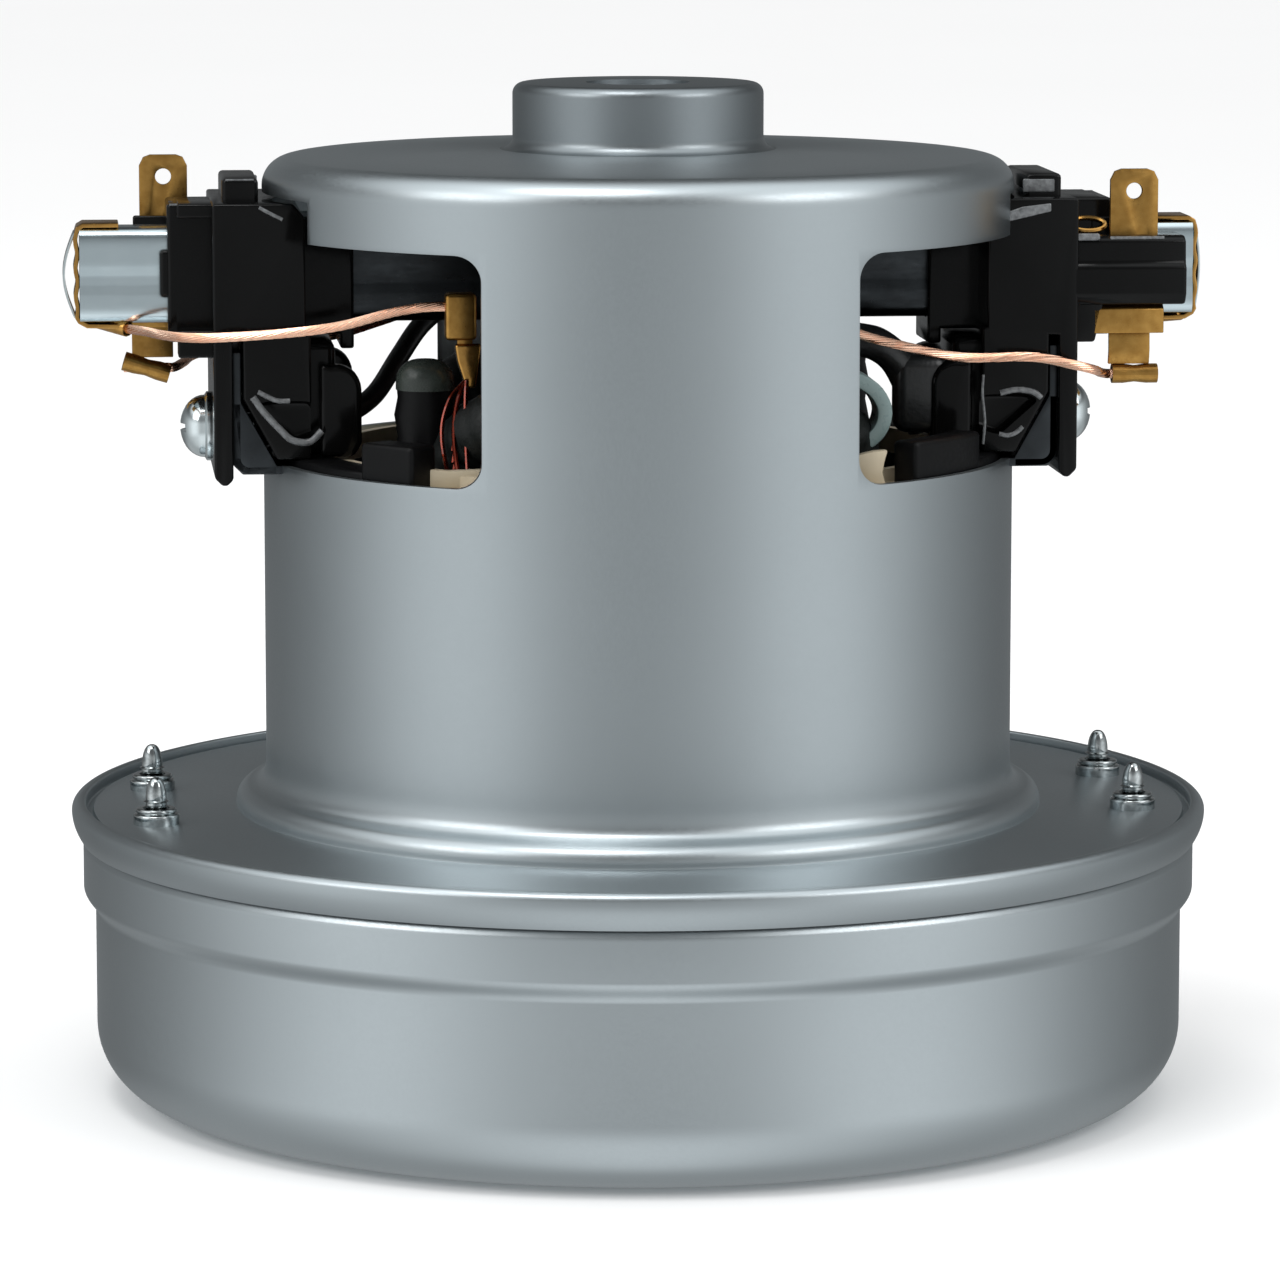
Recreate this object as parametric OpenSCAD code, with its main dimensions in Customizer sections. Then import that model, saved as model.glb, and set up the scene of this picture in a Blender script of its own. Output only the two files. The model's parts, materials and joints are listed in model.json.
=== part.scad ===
// Vacuum motor unit: a series motor and its fan in one sheet steel case.
// Millimetres, Z up along the shaft, origin at the middle of the flat base.
// The two brush holders stand on the X axis and match after half a turn about Z.

/* [Fan cover] */
// Outer diameter of the fan cover's straight wall
cover_d = 130; // [126:1:140]
// Radius of the cover's rounded bottom corner
cover_corner_r = 8.6; // [5:0.2:9]
// Height where the cover's wall starts to widen
cover_wall_h = 22.4; // [20:0.2:23]
// Height where the widened mouth of the cover begins
mouth_z = 25; // [24:0.2:27]
// How far the mouth stands out beyond the straight wall
mouth_out = 1.4; // [1:0.1:2]
// Thickness of the steel sheet of the cover and the housing
sheet = 1; // [0.8:0.1:1.2]
// Bore of the air inlet in the base
inlet_d = 37; // [32:0.5:39]
// Height of the inlet's inner lip above the base
lip_h = 6; // [5.4:0.2:6.4]
// Diameter where the base starts to rise towards the inlet
dish_d = 62; // [56:1:80]

/* [Motor housing] */
// Height of the whole unit
total_h = 120.2; // [119.6:0.2:121.4]
// Outer diameter of the motor body
body_d = 89; // [87:0.5:93]
// Height of the body's shoulder
shoulder_z = 111.6; // [111.2:0.1:112]
// Radius of the rounded shoulder
shoulder_r = 3.4; // [2:0.2:3.8]
// Rise of the top plate from the shoulder to the boss
crown_rise = 0.8; // [0.2:0.1:1]
// Outer diameter of the bearing boss
boss_d = 29.7; // [29:0.1:31]
// Rounding of the boss's top edge
boss_round = 1.3; // [1.2:0.1:1.8]
// Fillet at the foot of the boss
boss_foot_r = 1.5; // [1:0.1:2]
// Diameter of the hole in the boss's top
top_hole_d = 12.3; // [10:0.1:15]
// Height of the flange's upper face
flange_z = 34.4; // [33.8:0.2:35]
// Height of the raised ring at the body's foot
ring_rise = 1.8; // [1.4:0.1:2]
// How far the body's foot flares beyond the body
foot_flare = 0.4; // [0.2:0.1:0.6]
// Height of the rim bead above the flange
rim_rise = 0.8; // [0.5:0.1:1.2]
// How far the rim bead stands out beyond the cover's mouth
rim_out = 1.35; // [1.1:0.05:1.8]
// Depth of the rim's skirt below the flange's upper face
skirt_h = 4.9; // [4:0.1:5.5]

/* [Windows] */
// Height of the windows' lower edge
window_z0 = 76.4; // [76:0.1:76.8]
// Height of the windows' upper edge
window_z1 = 102.8; // [101:0.2:104]
// Width of the steel web left between the windows, front and back
web_w = 42.8; // [38:0.2:46]
// Corner radius of the windows
window_corner_r = 3; // [2:0.2:4]

/* [Shaft and bearings] */
// Diameter of the motor shaft
shaft_d = 8; // [7.6:0.1:8.4]
// Outer diameter of both ball bearings
bearing_d = 22; // [21.6:0.2:22.4]
// Width of both ball bearings
bearing_w = 7; // [6.6:0.1:7]
// Diameter of a bearing ball
ball_d = 3.8; // [3.4:0.1:3.8]
// Number of balls in a bearing
ball_count = 7; // [5:1:8]

/* [Armature and field] */
// Diameter of the armature
armature_d = 40; // [38:0.5:42]
// Gap between the armature and the field poles
air_gap = 0.5; // [0.4:0.1:0.8]
// Height of the lower face of both lamination stacks
stack_z = 46; // [45:0.5:47]
// Height of both lamination stacks
stack_h = 28; // [26:0.5:28]
// Number of armature slots and commutator bars
slot_count = 22; // [16:2:24]
// Diameter of the commutator
commutator_d = 23; // [21:0.5:24]
// Length of the commutator bars
commutator_l = 17; // [14:0.5:17]
// Height of the top of the field coils
coil_top_z = 88; // [86:0.5:88.4]
// Angle from the middle of a pole to the end of its coil
coil_end_a = 55; // [48:1:58]

/* [Fan] */
// Diameter of the fan
fan_d = 108; // [100:1:110]
// Thickness of the fan's discs
fan_sheet = 0.8; // [0.6:0.1:1]
// Height of the fan's outlet
fan_outlet_h = 6.8; // [5:0.2:7.4]
// Number of fan blades
blade_count = 9; // [7:1:11]
// Number of diffuser vanes
vane_count = 12; // [8:1:16]
// Height of the diffuser
diffuser_h = 16.3; // [15:0.1:16.6]

/* [Brush gear] */
// Height of the middle of the brushes
brush_z = 98; // [97.6:0.1:98.4]
// Width of a carbon brush
brush_w = 6.4; // [6:0.1:6.8]
// Height of a carbon brush along the shaft
brush_h = 10; // [9:0.1:10.2]
// Length of a carbon brush
brush_l = 28; // [22:0.5:34]
// How far the brush tube stands out beyond the body
tube_out = 21.5; // [20:0.5:23]
// Gap between the body and the holder's mounting plate
plate_gap = 4; // [4:0.1:5]
// Thickness of the holder's mounting plate
plate_t = 2.2; // [2:0.1:3]
// Width of the brush holder
holder_w = 26; // [24:0.5:27]
// Width of the terminal's tab
tab_w = 6.3; // [4.8:0.1:6.3]
// Height of the terminal's tab above the arm
tab_h = 8.9; // [7:0.1:10]
// Height of the holder's fixing screw
holder_screw_z = 80.7; // [80:0.1:82]

/* [Flange screws] */
// Diameter of the circle that the four flange screws stand on
screw_circle_d = 118.4; // [116:0.2:119]
// Angle between each flange screw and the X axis
screw_a = 12; // [10:1:20]
// Diameter of the flange screws
screw_d = 3; // [2.6:0.1:3.2]
// Outer diameter of the drawn collar round each flange screw
collar_d = 5.4; // [5:0.1:6]
// Height of the drawn collar above the flange
collar_h = 1.9; // [1.4:0.1:2.4]
// How far the screw's tip stands out above its collar
tip_h = 3.6; // [2.5:0.1:4]

/* [Hidden] */
$fn = 96;

// Clearances
fit = 0.05;          // between pieces that are slid together
press = 0.01;        // between pieces that are pressed together
run_gap = 0.15;      // between a ball and its races
brush_fit = 0.1;     // between a brush and its tube, each side
seat_gap = 0.3;      // between a moving piece and what it rests on

// Radii from the driving diameters
cover_r = cover_d / 2;
mouth_r = cover_r + mouth_out;
inlet_r = inlet_d / 2;
body_r = body_d / 2;
bore_r = body_r - sheet;
boss_r = boss_d / 2;
shaft_r = shaft_d / 2;
bearing_r = bearing_d / 2;
armature_r = armature_d / 2;
commutator_r = commutator_d / 2;

// Fan cover
bell_r = 2.6;                    // rounding of the inlet's edge
bell_z = sheet + bell_r;         // height of that rounding's middle
flange_under = flange_z - sheet;
mouth_top = flange_under - 0.2;  // the mouth ends just under the flange

// Housing
crown_z = shoulder_z + crown_rise;
foot_r = body_r + foot_flare;    // radius of the flared foot
foot_fillet = 2.2;
ring_edge = 0.2 + sheet;         // rounding of the raised ring's edge
ring_foot = 0.6;                 // fillet at the raised ring's foot
ring_top = flange_z + ring_rise;
ring_r = foot_r + foot_fillet + ring_edge;
flare_low = 6.8;                 // from the flange to the flare's lower end
flare_h = 5;
flare_z0 = flange_z + flare_low;
flare_z1 = flare_z0 + flare_h;
skirt_r = mouth_r + fit;         // inside of the rim's skirt
rim_r = mouth_r + rim_out;
rim_in = mouth_r - 0.35;         // inner edge of the rim bead
groove_w = 0.7;                  // groove just inside the rim bead
groove_h = 0.4;
notch_y0 = -holder_w / 2 - 0.2;  // taller part of each window, round the holder
notch_y1 = 19.5;
notch_rise = 9.6;                // from the middle of the brushes up
notch_z = brush_z + notch_rise;
notch_in = 12;                   // how deep the notch cuts in from the body

// Steel tongue of the housing that carries each brush holder
plate_x = body_r + plate_gap;    // inner face of the holder's plate
tongue_w = 24;
tongue_x0 = body_r - 1.1;        // foot of the tongue's folded cheeks
holder_screw_r = 1.5;
holder_head_r = 3.9;
holder_head_h = 3.4;
screw_slot_w = 0.8;
screw_slot_l = 4;

// Bearings
pitch_r = (shaft_r + bearing_r) / 2;
ball_r = ball_d / 2;
groove_r = ball_r + run_gap;
land_gap = 1.45;                 // from the pitch circle to each race's land
cage_t = 1;
cage_h = 5;
boss_in_z = total_h - sheet;     // underside of the boss's top
upper_z = boss_in_z - seat_gap - bearing_w;
retainer_t = 0.8;
bearing_lip = 2.5;               // how far a seat's lip reaches in under a bearing
plate_sheet = 1.5;               // bearing plate
plate_z = flange_under - plate_sheet;
plate_spokes = 10;
plate_slot_in = 7;               // from the cup to the plate's air slots
plate_slot_out = 3;              // from the slots to the housing's bore
cup_wall = 1.2;
cup_r = bearing_r + cup_wall;
lower_z = plate_z - 4.5;

// Lamination stacks and coils
stack_top = stack_z + stack_h;
stator_r = bore_r - fit;
yoke_w = 7.4;
yoke_in = stator_r - yoke_w;
pole_bore = armature_r + air_gap;
shoe_t = 4.7;
shoe_a = 62;
neck_a = 26;
insulator_t = 1.5;
insulator_rim = 3;
coil_in = pole_bore + shoe_t + 0.8;
coil_out = yoke_in - 0.7;
coil_low_z = stack_z - insulator_t - 9;
liner_t = 0.5;
liner_top = coil_top_z - 5;

// Armature and commutator
winding_low_z = stack_z - 8;
bar_t = 4;
riser_out = 1.5;
riser_h = 2;
commutator_z = brush_z - commutator_l / 2;
riser_z = commutator_z - riser_h;
hub_r = commutator_r - bar_t;
hub_top = commutator_z + commutator_l + 1;
collar_r = shaft_r + 1.4;

// Fan and diffuser
fan_r = fan_d / 2;
diffuser_z = plate_z - diffuser_h;
diffuser_r = cover_r - sheet - 1.2;
diffuser_t = 1.6;
vane_in_r = cup_r + 8;
vane_bend_r = 34;                // radius that each diffuser vane is bent to
vane_t = 1.4;
post_r = collar_d / 2 + 0.8;     // posts round the flange screws
fan_gap = 1.2;
back_disc_z = diffuser_z - fan_gap - fan_sheet;
front_out_z = back_disc_z - fan_outlet_h - fan_sheet;
eye_r = inlet_r + sheet + 0.8;
eye_z = lip_h - 1.6;
eye_top = eye_z + 0.9;
blade_in_r = eye_r + 2;
spacer_r = shaft_r + 2.2;
washer_t = 1.5;
nut_h = 4.8;
nut_r = 7.5;                     // corner radius of the hexagon
shaft_out = 0.6;                 // how far the shaft stands out of the nut
shaft_low_z = back_disc_z - washer_t - nut_h - shaft_out;
screw_head_out = 1.4;
screw_head_h = 2;
shaft_top_z = upper_z + bearing_w - 0.5;

// Brush gear, drawn for the right holder and turned half a turn for the left one
tube_wall = 0.5;
tube_w = brush_w + 2 * brush_fit + 2 * tube_wall;
tube_h = brush_h + 2 * brush_fit + 2 * tube_wall;
tube_z0 = brush_z - tube_h / 2;
tube_z1 = brush_z + tube_h / 2;
tube_x0 = commutator_r + 3;
tube_x1 = body_r + tube_out;
brush_x = commutator_r + seat_gap;
plate_x1 = plate_x + plate_t;
holder_y = holder_w / 2;
plate_z0 = window_z0 - 2.3;
plate_z1 = brush_z + 9;
plate_bevel = 0.8;
block_in = 4.5;                  // how far the block reaches in past the body
block_x0 = body_r - block_in;
block_h = 8;                     // from the middle of the brushes down
block_z0 = brush_z - block_h;
raised_z = plate_z1 + 2.6;
raised_w = 16;
raised_gap = 0.7;                // from the body to the raised block
clip_l = 4.6;                    // how far the clip reaches over the tube
clip_x0 = tube_x1 - clip_l;
collar_l = 6.2;
collar_x1 = min(plate_x1 + collar_l, clip_x0 - seat_gap);
collar_y = tube_w / 2 + 2.4;
snout_in = 10.5;                 // how far the snout reaches in past the body
snout_x0 = body_r - snout_in;
snout_wall = 1.2;
box_in = 8;                      // how far the lower box reaches in past the body
box_x0 = body_r - box_in;
box_x1 = plate_x - sheet - 0.2;  // the box ends beside the tongue
box_z0 = window_z0 + 0.8;
box_mid_z = (box_z0 + block_z0) / 2;
box_slope_z = box_mid_z - 1.6;   // foot of the box's sloping inner edge
box_corner_z = box_mid_z + 0.7;  // its outer corners are cut off round the tongue's cheeks
tongue_cheek_z = box_corner_z - 0.5;
tongue_top = block_z0 - 0.2;
cheek_t = 3.2;
arm_x1 = tube_x1 - 0.4;
arm_y0 = -holder_y;
arm_y1 = -tube_w / 2 - 1.4;
arm_z0 = brush_z - 4;
arm_z1 = brush_z + 4.5;
clip_t = 0.6;
clip_w = 6.4;
clip_bulge_r = 5;
clip_bulge = 1.4;
tab_t = 0.8;
tab_y = (arm_y0 + arm_y1) / 2;
tab_in = 8.2;                    // from the arm's end to the middle of the tab
tab_x = arm_x1 - tab_in;
tab_hole_r = 0.9;
tab_hole_drop = 3.5;
tab_bevel = 1.2;
bar_w = tab_w + 1.6;
bar_h = 2.8;
bar_y = 2.4;                     // half depth of the folded bar
strap_w = 5.1;
strap_l = 8;
strap_z = arm_z0 - strap_l;
lead_r = 0.6;
sleeve_r = 1.2;
crimp_wall = 0.5;
crimp_r = lead_r + fit + crimp_wall;
crimp_l = 4.6;
terminal_a = [23, 21.6];         // coil terminal that the brush lead ends in
terminal_b = [15, -25.8];        // coil terminal that the mains lead ends in
terminal_w = 3.6;
terminal_h = 6.5;
terminal_d = 3;
terminal_z = coil_top_z + 4.2;
terminal_stem = 0.8;
spring_r = 2.6;
spring_wire_r = 0.3;
spring_turns = 12;

// Route of the bare lead from the end clip to its coil terminal
crimp_in = 4;                    // from the tube's end to the middle of the clip's crimp
crimp_drop = 1.4;
clip_crimp = [tube_x1 - crimp_in, 0.6, tube_z0 - crimp_drop];
clip_crimp_a = atan2(4, -3);
brush_route = concat(
    [for (t = [2, 0, -2, -3.6]) clip_crimp + t * [0.6, -0.8, 0]],
    [[58.2, 6.6, 91.1], [56.4, 10, 91.2], [53.8, 13.2, 91.4], [50, 14.5, 91.8], [42, 15, 92.4],
    [36, 16.2, 93.1], [30.5, 19.2, 94.5], [27.6, 21.2, 95.1], [25.6, 21.6, 95.2],
    [23.2, 21.6, 95.2]]);
// Route of the bare lead from the terminal's strap to its coil terminal
mains_route = concat(
    [for (dx = [3.4, 0.6, -1.6]) [tab_x + dx, tab_y, strap_z]],
    [[54.8, -9.2, 86], [53.6, -11.4, 86.4], [52.6, -13.7, 86.9], [50, -14.7, 87.6],
    [45, -14.9, 88.6], [36.4, -16.4, 88.8], [29.4, -19.4, 90.4], [23.6, -23, 92.2],
    [20, -25.2, 94], [17.4, -25.8, 94.6], [14.6, -25.8, 94.6]]);
// Route of the black sleeved lead from the holder to the coil's end
sleeve_route = [
    [36.3, -3, 80.6], [34.4, -3.4, 80.8], [31, -6.4, 82.8], [28, -10.4, 86.6],
    [25, -14.6, 90.2], [21.6, -19, 92.4], [19, -22.2, 93.2], [17.8, -23.6, 93.3]
];

// Points along an arc about a centre
function arc(cx, cy, r, a0, a1, n = 8) =
    [for (i = [0:n]) [cx + r * cos(a0 + (a1 - a0) * i / n), cy + r * sin(a0 + (a1 - a0) * i / n)]];

// A list in the opposite order
function reversed(list) = [for (i = [len(list) - 1:-1:0]) list[i]];

// Smooth curve through a route's points, with steps pieces between neighbours
function route_point(p, i) = p[min(max(i, 0), len(p) - 1)];
function curve_point(p, i, t) =
    0.5 * (2 * route_point(p, i) + t * (route_point(p, i + 1) - route_point(p, i - 1))
    + t * t * (2 * route_point(p, i - 1) - 5 * route_point(p, i)
    + 4 * route_point(p, i + 1) - route_point(p, i + 2))
    + t * t * t * (3 * route_point(p, i) - route_point(p, i - 1)
    - 3 * route_point(p, i + 1) + route_point(p, i + 2)));
function smooth(p, steps) =
    concat([for (i = [0:len(p) - 2], s = [0:steps - 1]) curve_point(p, i, s / steps)],
        [p[len(p) - 1]]);
function unit(v) = v / norm(v);

// Ring of points round a curve at point i, square to the curve
function heading(p, i) = unit(p[min(i + 1, len(p) - 1)] - p[max(i - 1, 0)]);
function side_way(d) = unit(cross(d, abs(d.z) > 0.95 ? [1, 0, 0] : [0, 0, 1]));
function ring(p, i, r, sides) =
    let (d = heading(p, i), a = side_way(d), b = cross(a, d))
    [for (k = [0:sides - 1]) p[i] + r * (cos(360 * k / sides) * a + sin(360 * k / sides) * b)];

// Round tube swept along a list of points
module swept_tube(p, r, sides = 8) {
    n = len(p);
    points = [for (i = [0:n - 1], q = ring(p, i, r, sides)) q];
    walls = [for (i = [0:n - 2], k = [0:sides - 1], half = [0, 1])
        let (a = i * sides + k, b = i * sides + (k + 1) % sides)
        half == 0 ? [a, b, b + sides] : [a, b + sides, a + sides]];
    first_end = [for (k = [1:sides - 2]) [0, k + 1, k]];
    last = (n - 1) * sides;
    last_end = [for (k = [1:sides - 2]) [last, last + k, last + k + 1]];
    polyhedron(points, concat(walls, first_end, last_end));
}

// Box from two opposite corners
module box(low, high) {
    translate(low)
        cube(high - low);
}

// Cylinder along X
module rod_x(x0, x1, y, z, r) {
    translate([x0, y, z])
        rotate([0, 90, 0])
            cylinder(r = r, h = x1 - x0);
}

// Outline in X and Z, thickened along Y from y0 to y1
module side_plate(outline, y0, y1) {
    translate([0, y1, 0])
        rotate([90, 0, 0])
            linear_extrude(y1 - y0)
                polygon(outline);
}

// Sector of a ring about the -Y direction, between two angles
module sector(r0, r1, a0, a1) {
    reach = r1 * 1.5;
    intersection() {
        difference() {
            circle(r = r1);
            circle(r = r0);
        }
        polygon(concat([[0, 0]], [for (i = [0:6])
            let (a = a0 + (a1 - a0) * i / 6) [reach * sin(a), -reach * cos(a)]]));
    }
}

// Children at each of the four flange screws
module at_flange_screws() {
    for (side = [0, 180], a = [-screw_a, screw_a])
        rotate(side + a)
            translate([screw_circle_d / 2, 0, 0])
                children();
}

// Child for the right holder, or turned half a turn for the left one
module on_side(left) {
    rotate(left ? 180 : 0)
        children();
}

// Housing's outline, t below its outer surface
function housing_line(t) = concat(
    [[top_hole_d / 2, total_h - t]],
    arc(boss_r - boss_round, total_h - boss_round, boss_round - t, 90, 0),
    arc(boss_r + boss_foot_r, crown_z + boss_foot_r, boss_foot_r + t, 180, 270),
    arc(body_r - shoulder_r, shoulder_z - shoulder_r, shoulder_r - t, 90, 0),
    [[body_r - t, flare_z1], [foot_r - t, (flare_z0 + flare_z1) / 2], [foot_r - t, flare_z0]],
    arc(foot_r + foot_fillet, ring_top + foot_fillet, foot_fillet + t, 180, 270),
    arc(ring_r - ring_edge, ring_top - ring_edge, ring_edge - t, 90, 0),
    arc(ring_r + ring_foot, flange_z + ring_foot, ring_foot + t, 180, 270, 6));

// Rim bead and skirt, outside first, then back up inside the skirt
rim_top = flange_z + rim_rise;
rim_belly = rim_top - 1.1;
skirt_z = flange_z - skirt_h;
rim_line = concat(
    [[rim_in - groove_w, flange_z], [rim_in - groove_w / 2, flange_z - groove_h]],
    [[rim_in, flange_z]],
    arc(rim_in + 0.3, rim_top - 0.3, 0.3, 180, 90, 4),
    arc(rim_r - 1.1, rim_belly, 1.1, 90, 0),
    [for (i = [1:6]) let (s = i / 6)
        [rim_r - 0.9 * s * s, rim_belly + (skirt_z - rim_belly) * s]],
    [[skirt_r, skirt_z], [skirt_r, flange_under]]);

module tongue() {
    difference() {
        union() {
            box([0, -tongue_w / 2, window_z0 - sheet], [plate_x, tongue_w / 2, window_z0]);
            box([plate_x - sheet, -tongue_w / 2, window_z0 - sheet],
                [plate_x, tongue_w / 2, tongue_top]);
            for (y = [-tongue_w / 2, tongue_w / 2 - sheet])
                side_plate([[tongue_x0, window_z0 - sheet], [plate_x, window_z0 - sheet],
                    [plate_x, tongue_cheek_z], [plate_x - sheet, tongue_cheek_z],
                    [tongue_x0, window_z0]],
                    y, y + sheet);
        }
        translate([0, 0, window_z0 - 2 * sheet])
            cylinder(r = body_r - sheet / 2, h = 3 * sheet);
        rod_x(plate_x - 2 * sheet, plate_x + 1, 0, holder_screw_z, holder_screw_r + fit);
    }
}

module window_cut() {
    r = window_corner_r;
    x0 = web_w / 2;
    x1 = body_r + 2;
    rotate([90, 0, 0])
        linear_extrude(2 * body_r + 2, center = true) {
            translate([x0 + r, window_z0])
                square([x1 - x0 - r, window_z1 - window_z0]);
            translate([x0, window_z0 + r])
                square([r, window_z1 - window_z0 - 2 * r]);
            for (z = [window_z0 + r, window_z1 - r])
                translate([x0 + r, z])
                    circle(r = r);
        }
    box([body_r - notch_in, notch_y0, window_z1 - 1], [x1, notch_y1, notch_z]);
}

module motor_housing() {
    color([0.66, 0.69, 0.71])
        difference() {
            union() {
                difference() {
                    rotate_extrude()
                        polygon(concat(housing_line(0), rim_line, reversed(housing_line(sheet))));
                    for (side = [0, 180])
                        rotate(side)
                            window_cut();
                }
                for (side = [0, 180])
                    rotate(side)
                        tongue();
                at_flange_screws()
                    translate([0, 0, flange_under])
                        cylinder(r = collar_d / 2, h = sheet + collar_h);
            }
            at_flange_screws()
                translate([0, 0, flange_under - 1])
                    cylinder(r = screw_d / 2 + fit, h = sheet + collar_h + 2);
        }
}

// Cover's outline, t above its outer surface
function cover_line(t) = concat(
    [[inlet_r + t, lip_h]],
    arc(inlet_r + bell_r, bell_z, bell_r - t, 180, 270),
    [[dish_d / 2, t]],
    arc(cover_r - cover_corner_r, cover_corner_r, cover_corner_r - t, 270, 360, 12),
    [for (i = [0:8]) [cover_r - t + mouth_out * (1 - cos(180 * i / 8)) / 2,
        cover_wall_h + (mouth_z - cover_wall_h) * i / 8]],
    [[mouth_r - t, mouth_top]]);

module fan_cover() {
    color([0.7, 0.73, 0.75])
        rotate_extrude()
            polygon(concat(cover_line(0), reversed(cover_line(sheet))));
}

// Curved vane outline between two radii, along a circle of radius r about [c, 0]
module vane(r0, r1, c, r, t) {
    intersection() {
        difference() {
            circle(r = r1);
            circle(r = r0);
        }
        translate([c, 0])
            difference() {
                circle(r = r);
                circle(r = r - t);
            }
        square([r1 + 1, r1 + 1]);
    }
}

module diffuser() {
    hub_in = spacer_r + 1;
    color([0.2, 0.2, 0.21])
        difference() {
            union() {
                translate([0, 0, diffuser_z])
                    cylinder(r = fan_r + 2, h = diffuser_t);
                translate([0, 0, diffuser_z + diffuser_t - 0.2])
                    linear_extrude(diffuser_h - diffuser_t + 0.2)
                        for (i = [0:vane_count - 1])
                            rotate(360 * i / vane_count)
                                vane(vane_in_r, diffuser_r, vane_bend_r, vane_bend_r, vane_t);
                at_flange_screws()
                    translate([0, 0, diffuser_z]) {
                        cylinder(r = post_r, h = diffuser_h);
                        box([fan_r - screw_circle_d / 2, -post_r, 0], [0, post_r, diffuser_t]);
                    }
            }
            translate([0, 0, diffuser_z - 1])
                cylinder(r = hub_in, h = diffuser_t + 2);
            at_flange_screws()
                translate([0, 0, diffuser_z - 1])
                    cylinder(r = screw_d / 2 + fit, h = diffuser_h + 2);
        }
}

module bearing_plate() {
    color([0.6, 0.62, 0.64])
        difference() {
            union() {
                translate([0, 0, plate_z])
                    cylinder(r = diffuser_r - 0.4, h = plate_sheet);
                translate([0, 0, lower_z - cup_wall])
                    cylinder(r = cup_r, h = bearing_w + cup_wall + 0.2);
            }
            translate([0, 0, lower_z])
                cylinder(r = bearing_r + press, h = bearing_w + 1);
            translate([0, 0, lower_z - cup_wall - 1])
                cylinder(r = bearing_r - bearing_lip, h = cup_wall + 2);
            translate([0, 0, plate_z - 1])
                linear_extrude(plate_sheet + 2)
                    for (i = [0:plate_spokes - 1])
                        rotate(360 * (i + 0.5) / plate_spokes)
                            sector(cup_r + plate_slot_in, bore_r - plate_slot_out, -11, 11);
            at_flange_screws()
                translate([0, 0, plate_z - 1])
                    cylinder(r = screw_d / 2 + fit, h = plate_sheet + 2);
        }
}

module flange_screws() {
    tip_top = flange_z + collar_h + tip_h;
    shank_r = screw_d / 2;
    color([0.82, 0.84, 0.86])
        at_flange_screws() {
            translate([0, 0, diffuser_z - screw_head_h])
                cylinder(r = shank_r + screw_head_out, h = screw_head_h);
            translate([0, 0, diffuser_z - 0.1])
                cylinder(r = shank_r, h = tip_top - tip_h * 0.55 - diffuser_z + 0.1);
            translate([0, 0, tip_top - tip_h * 0.55])
                rotate_extrude()
                    polygon([[0, 0], [shank_r, 0], [shank_r * 0.85, tip_h * 0.25],
                        [shank_r * 0.35, tip_h * 0.5], [0, tip_h * 0.55]]);
        }
}

// Ring of revolution about Z from z0 to z1
module tube(r0, r1, z0, z1) {
    translate([0, 0, z0])
        difference() {
            cylinder(r = r1, h = z1 - z0);
            translate([0, 0, -1])
                cylinder(r = r0, h = z1 - z0 + 2);
        }
}

module upper_bearing_cushion() {
    color([0.12, 0.12, 0.12])
        tube(bearing_r + press, boss_r - sheet - press, upper_z, upper_z + bearing_w);
}

module bearing_retainer() {
    color([0.7, 0.72, 0.74])
        tube(bearing_r - bearing_lip, boss_r - sheet - press, upper_z - retainer_t, upper_z);
}

module preload_washer() {
    color([0.75, 0.76, 0.78])
        tube(bearing_r - bearing_lip, bearing_r - press, upper_z + bearing_w, boss_in_z);
}

// Torus that the balls run in, about the middle of a bearing
module ball_track(z) {
    translate([0, 0, z + bearing_w / 2])
        rotate_extrude()
            translate([pitch_r, 0])
                circle(r = groove_r);
}

module outer_race(z) {
    color([0.8, 0.82, 0.84])
        difference() {
            tube(pitch_r + land_gap, bearing_r, z, z + bearing_w);
            ball_track(z);
        }
}

module inner_race(z) {
    color([0.84, 0.86, 0.88])
        difference() {
            tube(shaft_r + press, pitch_r - land_gap, z, z + bearing_w);
            ball_track(z);
        }
}

module at_balls(z) {
    for (i = [0:ball_count - 1])
        rotate(360 * i / ball_count)
            translate([pitch_r, 0, z + bearing_w / 2])
                children();
}

module ball_set(z) {
    color([0.9, 0.91, 0.92])
        at_balls(z)
            sphere(r = ball_r);
}

module cage(z) {
    middle = z + bearing_w / 2;
    color([0.72, 0.6, 0.34])
        difference() {
            tube(pitch_r - cage_t / 2, pitch_r + cage_t / 2, middle - cage_h / 2, middle + cage_h / 2);
            at_balls(z)
                sphere(r = ball_r + run_gap);
        }
}

// Lamination shape of the field: yoke, two pole necks and two pole shoes
module field_outline(grow = 0) {
    difference() {
        intersection() {
            circle(r = stator_r - grow);
            square([2 * (stator_r - 2), 2 * stator_r + 2], center = true);
        }
        circle(r = yoke_in + grow);
    }
    for (side = [0, 180])
        rotate(side) {
            sector(pole_bore + grow, yoke_in + grow + 0.5, -neck_a, neck_a);
            sector(pole_bore + grow, pole_bore + shoe_t, -shoe_a, shoe_a);
        }
}

module stator_core() {
    color([0.42, 0.43, 0.45])
        translate([0, 0, stack_z])
            linear_extrude(stack_h)
                field_outline();
}

module end_insulators() {
    rim_in_r = yoke_in + 0.4;
    color([0.86, 0.8, 0.66])
        for (upper = [true, false]) {
            z0 = upper ? stack_top : stack_z - insulator_t;
            rim_z = upper ? stack_top : stack_z - insulator_rim;
            translate([0, 0, z0])
                linear_extrude(insulator_t)
                    field_outline(0.4);
            tube(rim_in_r, rim_in_r + 1.2, rim_z, rim_z + insulator_rim);
        }
}

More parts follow.
